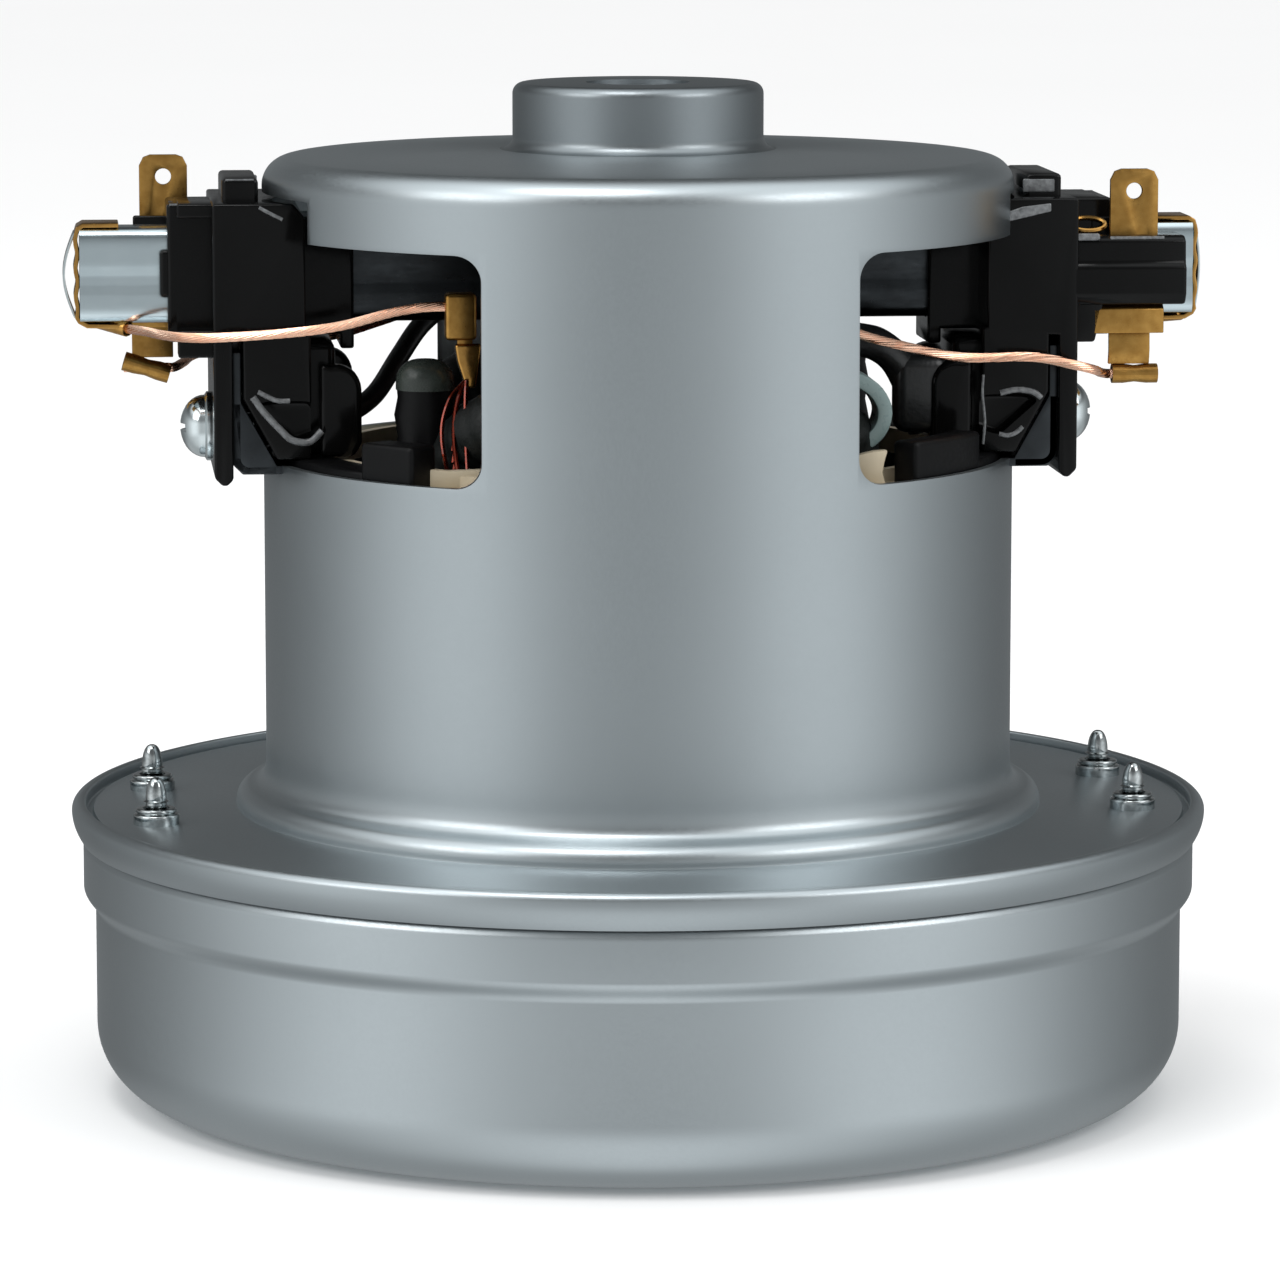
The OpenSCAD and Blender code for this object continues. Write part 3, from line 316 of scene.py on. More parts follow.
# Pressed steel sheet of the bearing plate and retainer
PRESSED_STEEL = Finish("pressed_steel", "9a9ea2", "868b8f", 1.0, 0.34, 0.08, 0.4, 0.002, 8.0)
# Pressed carbon of the brushes
CARBON = Finish("pressed_carbon", "2b2a2b", "1f1e1f", 0.0, 0.5, 0.1, 0.3, 0.01, 2.0)
# Moulded rubber of the bearing cushion
RUBBER = Finish("moulded_rubber", "161616", "1d1d1d", 0.0, 0.7, 0.08, 0.5, 0.01, 4.0)
# Moulded glass-filled plastic of the diffuser
DIFFUSER_PLASTIC = Finish("glass_filled_nylon", "2a2a2c", "343436", 0.0, 0.45, 0.08, 0.5, 0.006, 5.0)
# Moulded phenolic of the commutator's hub: brown
BROWN_PHENOLIC = Finish("brown_phenolic", "3a2216", "2c1a11", 0.0, 0.3, 0.06, 0.6, 0.004, 4.0)
# Bearing cage, stamped brass sheet
CAGE_BRASS = Finish("cage_brass", "c2a25c", "a88a4a", 1.0, 0.28, 0.06, 0.4, 0.002, 3.0)
# Matt white paper that the object stands on
PAPER = Finish("matt_white_paper", "f7f7f7", "f5f5f5", 0.0, 0.9, 0.0, 2.0, 0.0, 400.0, specular=0.0)


class Body(Enum):
    """The part's bodies that the drawn pieces ride on."""

    FRAME = "frame"
    ROTOR = "rotor"


class Side(Enum):
    """The two brush holders; the value is the half turns about Z that each takes."""

    RIGHT = 0
    LEFT = 1

    @property
    def label(self) -> str:
        """Name of the side in the nodes' names."""
        return self.name.lower()

    @property
    def turn(self) -> Matrix:
        """Matrix that brings a right-hand piece to this side."""
        return Matrix.Rotation(math.pi * self.value, 4, "Z")


# Modelling helpers


def metres(point: Point) -> Vector:
    """Turns a point in millimetres into metres."""
    return Vector(point) * MM


def hold(piece: bpy.types.Object) -> None:
    """Selects one object alone and makes it the active one.

    Args:
        piece: The object.
    """
    bpy.ops.object.select_all(action="DESELECT")
    piece.select_set(True)
    bpy.context.view_layer.objects.active = piece


@contextmanager
def editing(piece: bpy.types.Object) -> Iterator[None]:
    """Edit mode on one object with its whole mesh selected.

    Args:
        piece: The object that is edited.

    Yields:
        Nothing; object mode is back afterwards.
    """
    hold(piece)
    bpy.ops.object.mode_set(mode="EDIT")
    bpy.ops.mesh.select_all(action="SELECT")
    yield
    bpy.ops.object.mode_set(mode="OBJECT")


def settle(piece: bpy.types.Object) -> bpy.types.Object:
    """Moves an object's place, turn and scale into its mesh.

    Args:
        piece: The object that is changed.

    Returns:
        The same object.
    """
    hold(piece)
    bpy.ops.object.transform_apply(location=True, rotation=True, scale=True)
    return piece


def apply_modifier(piece: bpy.types.Object, kind: str, **settings: object) -> bpy.types.Object:
    """Adds a modifier with its settings and applies it.

    Args:
        piece: The object that is changed.
        kind: The modifier's Blender type name.
        settings: Attributes of the modifier.

    Returns:
        The same object.
    """
    hold(piece)
    modifier = piece.modifiers.new(kind.lower(), kind)
    for name, value in settings.items():
        setattr(modifier, name, value)
    bpy.ops.object.modifier_apply(modifier=modifier.name)
    return piece


def round_edges(
    piece: bpy.types.Object, width: float, segments: int = 2, angle: float = 35
) -> bpy.types.Object:
    """Rounds the edges that are sharper than an angle.

    Args:
        piece: The object that is changed.
        width: Width of the rounding in millimetres.
        segments: Faces across the rounding.
        angle: Least angle of an edge that is rounded, in degrees.

    Returns:
        The same object.
    """
    return apply_modifier(
        piece,
        "BEVEL",
        width=width * MM,
        segments=segments,
        limit_method="ANGLE",
        angle_limit=math.radians(angle),
        harden_normals=False,
        use_clamp_overlap=True,
    )


def draw_line(name: str, points: Iterable[Point], closed: bool = False) -> bpy.types.Object:
    """Draws a chain of edges by extruding one vertex from point to point.

    Args:
        name: The object's name.
        points: The chain's points in millimetres.
        closed: Whether the last point is joined to the first.

    Returns:
        An object that holds the chain.
    """
    stops = [metres(p) for p in points]
    if closed:
        stops.append(stops[0])
    bpy.ops.object.select_all(action="DESELECT")
    bpy.ops.mesh.primitive_plane_add(size=MM, location=stops[0])
    piece = bpy.context.object
    piece.name = name
    with editing(piece):
        bpy.ops.mesh.merge(type="CENTER")
        for start, stop in zip(stops, stops[1:]):
            bpy.ops.mesh.extrude_region_move(TRANSFORM_OT_translate={"value": stop - start})
        bpy.ops.mesh.select_all(action="SELECT")
        bpy.ops.mesh.remove_doubles(threshold=WELD)
    return settle(piece)


def lathe(name: str, outline: Iterable[Point], steps: int, phase: float = 0.0) -> bpy.types.Object:
    """Spins a closed outline of radius and height once round Z.

    Args:
        name: The object's name.
        outline: Radius and height of each point, in millimetres.
        steps: Faces round the axis.
        phase: Angle of the first outline about Z, in degrees.

    Returns:
        The closed solid.
    """
    turn = Matrix.Rotation(math.radians(phase), 3, "Z")
    piece = draw_line(name, [turn @ Vector((r, 0, z)) for r, z in outline], closed=True)
    with editing(piece):
        bpy.ops.mesh.spin(steps=steps, angle=math.tau, center=(0, 0, 0), axis=(0, 0, 1))
        bpy.ops.mesh.select_all(action="SELECT")
        bpy.ops.mesh.remove_doubles(threshold=WELD)
        bpy.ops.mesh.normals_make_consistent(inside=False)
    return piece


def slab(name: str, outline: Iterable[Point], depth: Point) -> bpy.types.Object:
    """Fills a flat closed outline and extrudes it into a solid.

    Args:
        name: The object's name.
        outline: Points of the outline in space, in millimetres.
        depth: How far and in which direction the outline is extruded, in millimetres.

    Returns:
        The closed solid.
    """
    piece = draw_line(name, outline, closed=True)
    with editing(piece):
        bpy.ops.mesh.edge_face_add()
        bpy.ops.mesh.extrude_region_move(TRANSFORM_OT_translate={"value": metres(depth)})
        bpy.ops.mesh.select_all(action="SELECT")
        bpy.ops.mesh.normals_make_consistent(inside=False)
    return piece


def side_slab(name: str, outline: Iterable[Sequence[float]], y0: float, y1: float) -> bpy.types.Object:
    """Solid from an outline in X and Z, between two places along Y, in millimetres."""
    return slab(name, [(x, y0, z) for x, z in outline], (0, y1 - y0, 0))


def block(name: str, low: Point, high: Point, edge: float = 0.0) -> bpy.types.Object:
    """Box between two corners with rounded edges.

    Args:
        name: The object's name.
        low: Lowest corner in millimetres.
        high: Highest corner in millimetres.
        edge: Width of the rounded edges in millimetres.

    Returns:
        The box.
    """
    size = metres(high) - metres(low)
    bpy.ops.object.select_all(action="DESELECT")
    bpy.ops.mesh.primitive_cube_add(size=1, location=(metres(high) + metres(low)) / 2, scale=size)
    piece = bpy.context.object
    piece.name = name
    settle(piece)
    if edge:
        with editing(piece):
            bpy.ops.mesh.bevel(offset=edge * MM, segments=3, affect="EDGES")
    return piece


def rod(name: str, start: Point, stop: Point, radius: float, sides: int = 32) -> bpy.types.Object:
    """Straight round bar between two points.

    Args:
        name: The object's name.
        start: Middle of one end in millimetres.
        stop: Middle of the other end.
        radius: Radius in millimetres.
        sides: Faces round the bar.

    Returns:
        The bar.
    """
    a, b = metres(start), metres(stop)
    bpy.ops.object.select_all(action="DESELECT")
    bpy.ops.mesh.primitive_cylinder_add(
        vertices=sides,
        radius=radius * MM,
        depth=(b - a).length,
        location=(a + b) / 2,
        rotation=(b - a).to_track_quat("Z", "Y").to_euler(),
    )
    piece = bpy.context.object
    piece.name = name
    return settle(piece)


def strip(
    name: str, line: Iterable[Point], width: Point, thickness: float, edge: float = 0.0
) -> bpy.types.Object:
    """Bends a sheet metal strip along a line.

    Args:
        name: The object's name.
        line: Points that one long edge of the strip follows, in millimetres.
        width: How far and in which direction the strip spreads from that edge.
        thickness: Sheet thickness in millimetres, centred on the line.
        edge: Width of the rounded edges in millimetres.

    Returns:
        The strip.
    """
    piece = draw_line(name, line)
    with editing(piece):
        bpy.ops.mesh.extrude_region_move(TRANSFORM_OT_translate={"value": metres(width)})
        bpy.ops.mesh.select_all(action="SELECT")
        bpy.ops.mesh.normals_make_consistent(inside=False)
    apply_modifier(piece, "SOLIDIFY", thickness=thickness * MM, offset=0.0, use_even_offset=True)
    return round_edges(piece, edge) if edge else piece


def wire(
    name: str, points: Iterable[Point], radius: float, sides: int = 10, closed: bool = False
) -> bpy.types.Object:
    """Sweeps a round section along a chain of points.

    Args:
        name: The object's name.
        points: Points of the middle line in millimetres.
        radius: Radius of the section in millimetres.
        sides: Faces round the section; a multiple of 2, at least 6.
        closed: Whether the line closes on itself.

    Returns:
        The swept mesh.
    """
    piece = draw_line(name, points, closed)
    bpy.ops.object.convert(target="CURVE")
    piece = bpy.context.object
    piece.data.bevel_depth = radius * MM
    piece.data.bevel_resolution = sides // 2 - 2
    piece.data.use_fill_caps = not closed
    bpy.ops.object.convert(target="MESH")
    piece = bpy.context.object
    with editing(piece):
        bpy.ops.mesh.remove_doubles(threshold=WELD)
        bpy.ops.mesh.normals_make_consistent(inside=False)
    return piece


def combine(piece: bpy.types.Object, other: bpy.types.Object, operation: str = "UNION") -> bpy.types.Object:
    """Fuses another solid with a piece, or cuts it away, and removes it.

    Args:
        piece: The object that is kept.
        other: The object that is used up.
        operation: UNION or DIFFERENCE.

    Returns:
        The kept object.
    """
    apply_modifier(piece, "BOOLEAN", operation=operation, object=other, solver="EXACT")
    bpy.data.objects.remove(other)
    return piece


def join(name: str, pieces: Sequence[bpy.types.Object]) -> bpy.types.Object:
    """Joins separate solids into one object.

    Args:
        name: The joined object's name.
        pieces: The solids, of which the first takes in the others.

    Returns:
        The joined object.
    """
    bpy.ops.object.select_all(action="DESELECT")
    for piece in pieces:
        piece.select_set(True)
    bpy.context.view_layer.objects.active = pieces[0]
    if len(pieces) > 1:
        bpy.ops.object.join()
    pieces[0].name = name
    return pieces[0]


def copy_at(piece: bpy.types.Object, places: Sequence[Matrix]) -> list[bpy.types.Object]:
    """Copies a piece to each place, each copy with its own mesh, and removes the first one.

    Args:
        piece: The object that is copied.
        places: Where each copy goes.

    Returns:
        The copies.
    """
    copies = []
    for place in places:
        twin = piece.copy()
        twin.data = piece.data.copy()
        twin.data.transform(place)
        bpy.context.scene.collection.objects.link(twin)
        copies.append(twin)
    bpy.data.objects.remove(piece)
    return copies


def dress(
    piece: bpy.types.Object,
    finish: Finish,
    body: Body = Body.FRAME,
    stands_for: Sequence[str] = (),
    crease: float = 32,
) -> bpy.types.Object:
    """Gives a finished piece its shading, finish and body.

    Args:
        piece: The finished mesh.
        finish: What it is made of.
        body: The body that it rides on.
        stands_for: The part's nodes that it is shown in place of.
        crease: Angle past which an edge stays sharp, in degrees.

    Returns:
        The same object.
    """
    settle(piece)
    bpy.ops.object.shade_smooth_by_angle(angle=math.radians(crease))
    piece.data.materials.clear()
    piece.data.materials.append(finish.material())
    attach(piece, body.value)
    if stands_for:
        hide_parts(*stands_for)
    LOG.info("%s: %d faces", piece.name, len(piece.data.polygons))
    return piece


def arc(cx: float, cy: float, r: float, a0: float, a1: float, n: int = 12) -> Outline:
    """Points along an arc about a centre, from one angle to another in degrees."""
    angles = [math.radians(a0 + (a1 - a0) * i / n) for i in range(n + 1)]
    return [(cx + r * math.cos(a), cy + r * math.sin(a)) for a in angles]


def around(points: Iterable[Point]) -> list[tuple[float, float, float]]:
    """Turns radius, angle in radians and height into X, Y and Z."""
    return [(r * math.cos(a), r * math.sin(a), z) for r, a, z in points]


def smooth(route: Sequence[Point], steps: int) -> list[Vector]:
    """Smooth curve through a route's points.

    Args:
        route: The points that the curve passes.
        steps: Pieces between neighbouring points.

    Returns:
        Points of the curve, the first and last as in the route.
    """
    p = [Vector(q) for q in route]
    last = len(p) - 1
    line = []
    for i in range(last):
        a, b, c, d = p[max(i - 1, 0)], p[i], p[i + 1], p[min(i + 2, last)]
        slope, bend, twist = c - a, 2 * a - 5 * b + 4 * c - d, 3 * b - a - 3 * c + d
        for t in (s / steps for s in range(steps)):
            line.append(0.5 * (2 * b + t * slope + t**2 * bend + t**3 * twist))
    return [*line, p[last]]


# Sub-assemblies


@dataclass
class Casing:
    """Drawn housing and fan cover, with the screws' collars and tips on the flange."""

    # Housing, by its outer surface
    sheet: float = 1.0
    total_h: float = 120.2
    body_r: float = 44.5
    shoulder_z: float = 111.6
    shoulder_r: float = 3.4
    crown_z: float = 112.4
    boss_r: float = 14.85
    boss_round: float = 1.3
    boss_foot_r: float = 1.5
    hole_r: float = 6.15
    flange_z: float = 34.4
    # Where the wall flares out to the raised ring: radius and height
    foot: tuple[tuple[float, float], ...] = (
        (44.5, 41.0), (44.5, 40.2), (44.53, 39.4), (44.65, 38.6), (44.9, 37.9), (45.3, 37.4), (45.85, 37.12),
    )  # fmt: skip
    ring_r: float = 46.0
    ring_z: float = 34.9
    ring_round: float = 2.1
    # Fan cover, its mouth widened to slip over the housing
    cover_r: float = 65.0
    cover_corner_r: float = 8.6
    cover_wall_h: float = 22.4
    mouth_z: float = 25.0
    mouth_out: float = 1.4
    mouth_gap: float = 0.2
    inlet_r: float = 18.5
    lip_h: float = 6.0
    bell_r: float = 2.6
    dish_r: float = 31.0
    # Rim of the flange round that mouth: rolled bead, inner lip and skirt
    rim_rise: float = 0.8
    rim_in: float = 0.35
    rim_out: float = 1.32
    bead_r: float = 1.1
    lip_r: float = 0.3
    skirt_h: float = 3.5
    skirt_taper: float = 0.9
    skirt_gap: float = 0.05
    # Groove inside the bead: out from the lip, and up from the flange
    groove: tuple[tuple[float, float], ...] = (
        (-1.2, 0.0), (-0.95, -0.12), (-0.8, -0.6), (-0.15, -0.7), (-0.02, -0.55),
    )  # fmt: skip
    # Recess in the cover under the skirt: its depth, then up from the skirt's foot and share of the depth
    recess: float = 0.5
    recess_steps: tuple[tuple[float, float], ...] = (
        (-1.3, 0.0), (-1.0, 0.0), (-0.8, 0.2), (-0.2, 0.8), (0.0, 1.0),
    )  # fmt: skip
    # Windows beside the web, and the notch above each for the brush holder
    window_z0: float = 76.4
    window_z1: float = 102.8
    web_half: float = 21.4
    window_corner: float = 3.0
    loop_gap: float = 0.6
    cut_edge: float = 0.18
    notch_y0: float = -13.2
    notch_y1: float = 19.5
    notch_z: float = 107.6
    notch_in: float = 12.0
    # Bent tongue that carries a brush holder, and its folded cheeks
    tongue_half: float = 12.0
    tongue_in: float = 2.9
    tongue_top: float = 89.7
    tongue_bend: float = 1.4
    plate_x: float = 48.5
    cheek_x0: float = 43.4
    cheek_h: float = 7.4
    cheek_cut: float = 0.6
    # Flange screws, on either side of the X axis
    screw_circle_r: float = 59.2
    screw_a: float = 12.0
    # Faces round the axis, and where the first one starts, clear of every cut
    steps: int = 256
    phase: float = 0.31

    def boss_line(self, t: float) -> Outline:
        """Outline of the bearing boss, from its hole down to the crown.

        Args:
            t: How far below the outer surface the line runs.

        Returns:
            Radius and height of each point.
        """
        edge_r, foot_r = self.boss_r - self.boss_round, self.boss_r + self.boss_foot_r
        return [
            (self.hole_r, self.total_h - t),
            *arc(edge_r, self.total_h - self.boss_round, self.boss_round - t, 90, 0),
            *arc(foot_r, self.crown_z + self.boss_foot_r, self.boss_foot_r + t, 180, 270),
        ]

    def wall_line(self, t: float) -> Outline:
        """Outline of the can, from the boss over the shoulder and the raised ring to the flange.

        Args:
            t: How far below the outer surface the line runs.

        Returns:
            Radius and height of each point.
        """
        shoulder_r, shoulder_z = self.body_r - self.shoulder_r, self.shoulder_z - self.shoulder_r
        flare = []
        for i, (r, z) in enumerate(self.foot):
            before, after = self.foot[max(i - 1, 0)], self.foot[min(i + 1, len(self.foot) - 1)]
            down, out = before[1] - after[1], after[0] - before[0]
            size = math.hypot(down, out)
            flare.append((r - t * down / size, z - t * out / size))
        return [
            self.boss_line(t)[-1],
            *arc(shoulder_r, shoulder_z, self.shoulder_r - t, 90, 0, 16),
            # Edge loops just above and below the windows keep the shading of the wall even
            (self.body_r - t, self.window_z1 + self.loop_gap),
            (self.body_r - t, self.window_z0 - self.loop_gap),
            *flare,
            *arc(self.ring_r, self.ring_z, self.ring_round - t, 80, -6, 16),
            (self.ring_r + self.ring_round - 0.9 * t, self.flange_z - t),
        ]

    def rim_line(self) -> Outline:
        """Outline of the rim: groove, bead and skirt, then back up inside the skirt.

        Returns:
            Radius and height of each point.
        """
        mouth_r = self.cover_r + self.mouth_out
        rim_in, rim_r = mouth_r - self.rim_in, mouth_r + self.rim_out
        top = self.flange_z + self.rim_rise
        belly = top - self.bead_r
        foot = self.flange_z - self.skirt_h
        drop = foot + self.lip_r - belly
        skirt_r = mouth_r + self.skirt_gap
        return [
            *[(rim_in + out, self.flange_z + up) for out, up in self.groove],
            *arc(rim_in + self.lip_r, top - self.lip_r, self.lip_r, 180, 90, 5),
            *arc(rim_r - self.bead_r, belly, self.bead_r, 90, 0),
            *[(rim_r - self.skirt_taper * (i / 8) ** 2, belly + drop * i / 8) for i in range(1, 9)],
            (rim_r - self.bead_r, foot),
            (skirt_r, foot),
            (skirt_r, self.flange_z - self.sheet),
        ]

    def window_cutter(self) -> bpy.types.Object:
        """Solid that cuts the two windows of the right side and the notch above them.

        Returns:
            The cutter, which reaches past the wall on every side.
        """
        r, x0, x1, y1 = self.window_corner, self.web_half, self.body_r + 3, self.body_r + 2
        outline = [
            (x1, self.window_z0),
            *arc(x0 + r, self.window_z0 + r, r, 270, 180, 10),
            *arc(x0 + r, self.window_z1 - r, r, 180, 90, 10),
            (x1, self.window_z1),
        ]
        cutter = side_slab("window_cutter", outline, -y1, y1)
        low = (self.body_r - self.notch_in, self.notch_y0, self.window_z1 - 1)
        return combine(cutter, block("notch_cutter", low, (x1, self.notch_y1, self.notch_z)))

    def housing(self) -> None:
        """Drawn steel can with windows, raised ring, flange and rim, and its boss."""
        boss_line = [*self.boss_line(0), *reversed(self.boss_line(self.sheet))]
        # The boss is a shell of its own so that it takes the darker grey of painted shade
        boss = lathe("bearing_boss", boss_line, self.steps, self.phase)
        dress(boss, BOSS_PAINTED_SHADE, stands_for=["motor_housing"])
        outline = [*self.wall_line(0), *self.rim_line(), *reversed(self.wall_line(self.sheet))]
        shell = lathe("motor_housing_shell", outline, self.steps, self.phase)
        cutter = self.window_cutter()
        for cut in copy_at(cutter, [side.turn for side in Side]):
            combine(shell, cut, "DIFFERENCE")
        round_edges(shell, self.cut_edge, 2, 60)
        dress(shell, SATIN_ZINC, stands_for=["motor_housing"])

    def tongue(self, side: Side) -> None:
        """Sheet tongue under a window that carries the brush holder, with its folded cheeks.

        Args:
            side: The side that gets it.
        """
        half, mid, bend = self.tongue_half, self.sheet / 2, self.tongue_bend
        x1, z0, cheek_z = self.plate_x - mid, self.window_z0 - mid, self.window_z0 + self.cheek_h
        line = [
            (self.body_r - self.tongue_in, -half, z0),
            *[(x, -half, z) for x, z in arc(x1 - bend, z0 + bend, bend, 270, 360, 6)],
            (x1, -half, self.tongue_top),
        ]
        sheet = strip(f"{side.label}_holder_tongue", line, (0, 2 * half, 0), self.sheet, 0.15)
        outline = [
            (self.cheek_x0, z0 - mid), (x1 - self.cheek_cut, z0 - mid), (x1 + mid, z0 + self.cheek_cut),
            (x1 + mid, cheek_z), (x1 - mid, cheek_z), (self.cheek_x0, z0 + mid),
        ]  # fmt: skip
        parts = [
            round_edges(side_slab("tongue_cheek", outline, y, y + self.sheet), 0.15)
            for y in (-half, half - self.sheet)
        ]
        cheeks = join(f"{side.label}_tongue_cheeks", parts)
        # The tongue and its cheeks take the dark grey of painted shade
        for piece in (sheet, cheeks):
            piece.data.transform(side.turn)
            dress(piece, SHADE_PAINTED_ZINC)

    def cover_line(self, t: float) -> Outline:
        """Outline of the cover, from the inlet's lip over the base and up the wall to the mouth.

        Args:
            t: How far inside the outer surface the line runs.

        Returns:
            Radius and height of each point.
        """
        mouth_r, corner_r = self.cover_r + self.mouth_out, self.cover_corner_r
        skirt_z, rise = self.flange_z - self.skirt_h, self.mouth_z - self.cover_wall_h
        widening = [
            (self.cover_r - t + self.mouth_out * (1 - math.cos(math.pi * i / 12)) / 2,
             self.cover_wall_h + rise * i / 12)
            for i in range(13)
        ]  # fmt: skip
        return [
            (self.inlet_r + t, self.lip_h),
            *arc(self.inlet_r + self.bell_r, self.sheet + self.bell_r, self.bell_r - t, 180, 270),
            (self.dish_r, t),
            *arc(self.cover_r - corner_r, corner_r, corner_r - t, 270, 360, 18),
            *widening,
            *[(mouth_r - self.recess * share - t, skirt_z + up) for up, share in self.recess_steps],
            (mouth_r - self.recess - t, self.flange_z - self.sheet - self.mouth_gap),
        ]

    def cover(self) -> None:
        """Fan cover with its dished base, inlet lip and widened mouth."""
        outline = [*self.cover_line(0), *reversed(self.cover_line(self.sheet))]
        shell = lathe("fan_cover_shell", outline, self.steps, self.phase)
        # The cover's lighter tone is painted light
        dress(shell, COVER_PAINTED_LIGHT, stands_for=["fan_cover"])

    def screw_places(self) -> list[Matrix]:
        """Places of the four flange screws.

        Returns:
            One matrix for each screw.
        """
        out = Matrix.Translation(metres((self.screw_circle_r, 0, 0)))
        angles = [180 * side.value + a for side in Side for a in (-self.screw_a, self.screw_a)]
        return [Matrix.Rotation(math.radians(a), 4, "Z") @ out for a in angles]

    def collars(self) -> None:
        """Drawn collars round the flange screws, each with a rolled lip."""
        z, hole_r = self.flange_z, 1.56
        outline = [
            (hole_r, z - 0.9),
            (2.5, z - 0.9),
            (2.7, z + 0.1),
            *arc(2.45, z + 1.0, 0.25, 0, 90, 5),
            (2.2, z + 1.28),
            *arc(2.12, z + 1.62, 0.28, 300, 450, 7),
            (hole_r, z + 1.9),
        ]
        collar = lathe("flange_collar", outline, 40)
        piece = join("flange_screw_collars", copy_at(collar, self.screw_places()))
        # The dark patches on the collars are painted reflections
        dress(piece, REFLECTION_PAINTED_ZINC, stands_for=["motor_housing"])

    def screws(self) -> None:
        """Self-tapping flange screws: washer head inside, thread and pointed tip above the collar."""
        low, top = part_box("flange_screws")
        z0, z1 = low.z / MM, top.z / MM
        core, crest, pitch, tip = 1.22, 1.5, 0.6, 2.9
        # One turn of the thread: radius, and share of the pitch
        turn = [(core, 0.0), (core, 0.22), (crest, 0.5), (core, 0.78)]
        head = [(0, z0), (2.5, z0), (2.9, z0 + 0.4), (2.9, z0 + 1.6), (1.5, z0 + 2.0)]
        threads = []
        z = z0 + 2.2
        while z < z1 - tip:
            threads += [(r, z + share * pitch) for r, share in turn]
            z += pitch
        angles = [math.radians(a) for a in range(0, 90, 9)]
        dome = [(core * math.cos(a) ** 0.8 + 0.02, z + (z1 - z) * math.sin(a)) for a in angles]
        screw = lathe("flange_screw", [*head, *threads, *dome, (0, z1)], 32)
        piece = join("flange_screw_set", copy_at(screw, self.screw_places()))
        # The dark patches on the screws are painted reflections
        dress(piece, REFLECTION_PAINTED_ZINC, stands_for=["flange_screws"], crease=45)

    def build(self) -> None:
        """Builds and dresses the whole casing."""
        self.housing()
        for side in Side:
            self.tongue(side)
        self.cover()
        self.collars()
        self.screws()


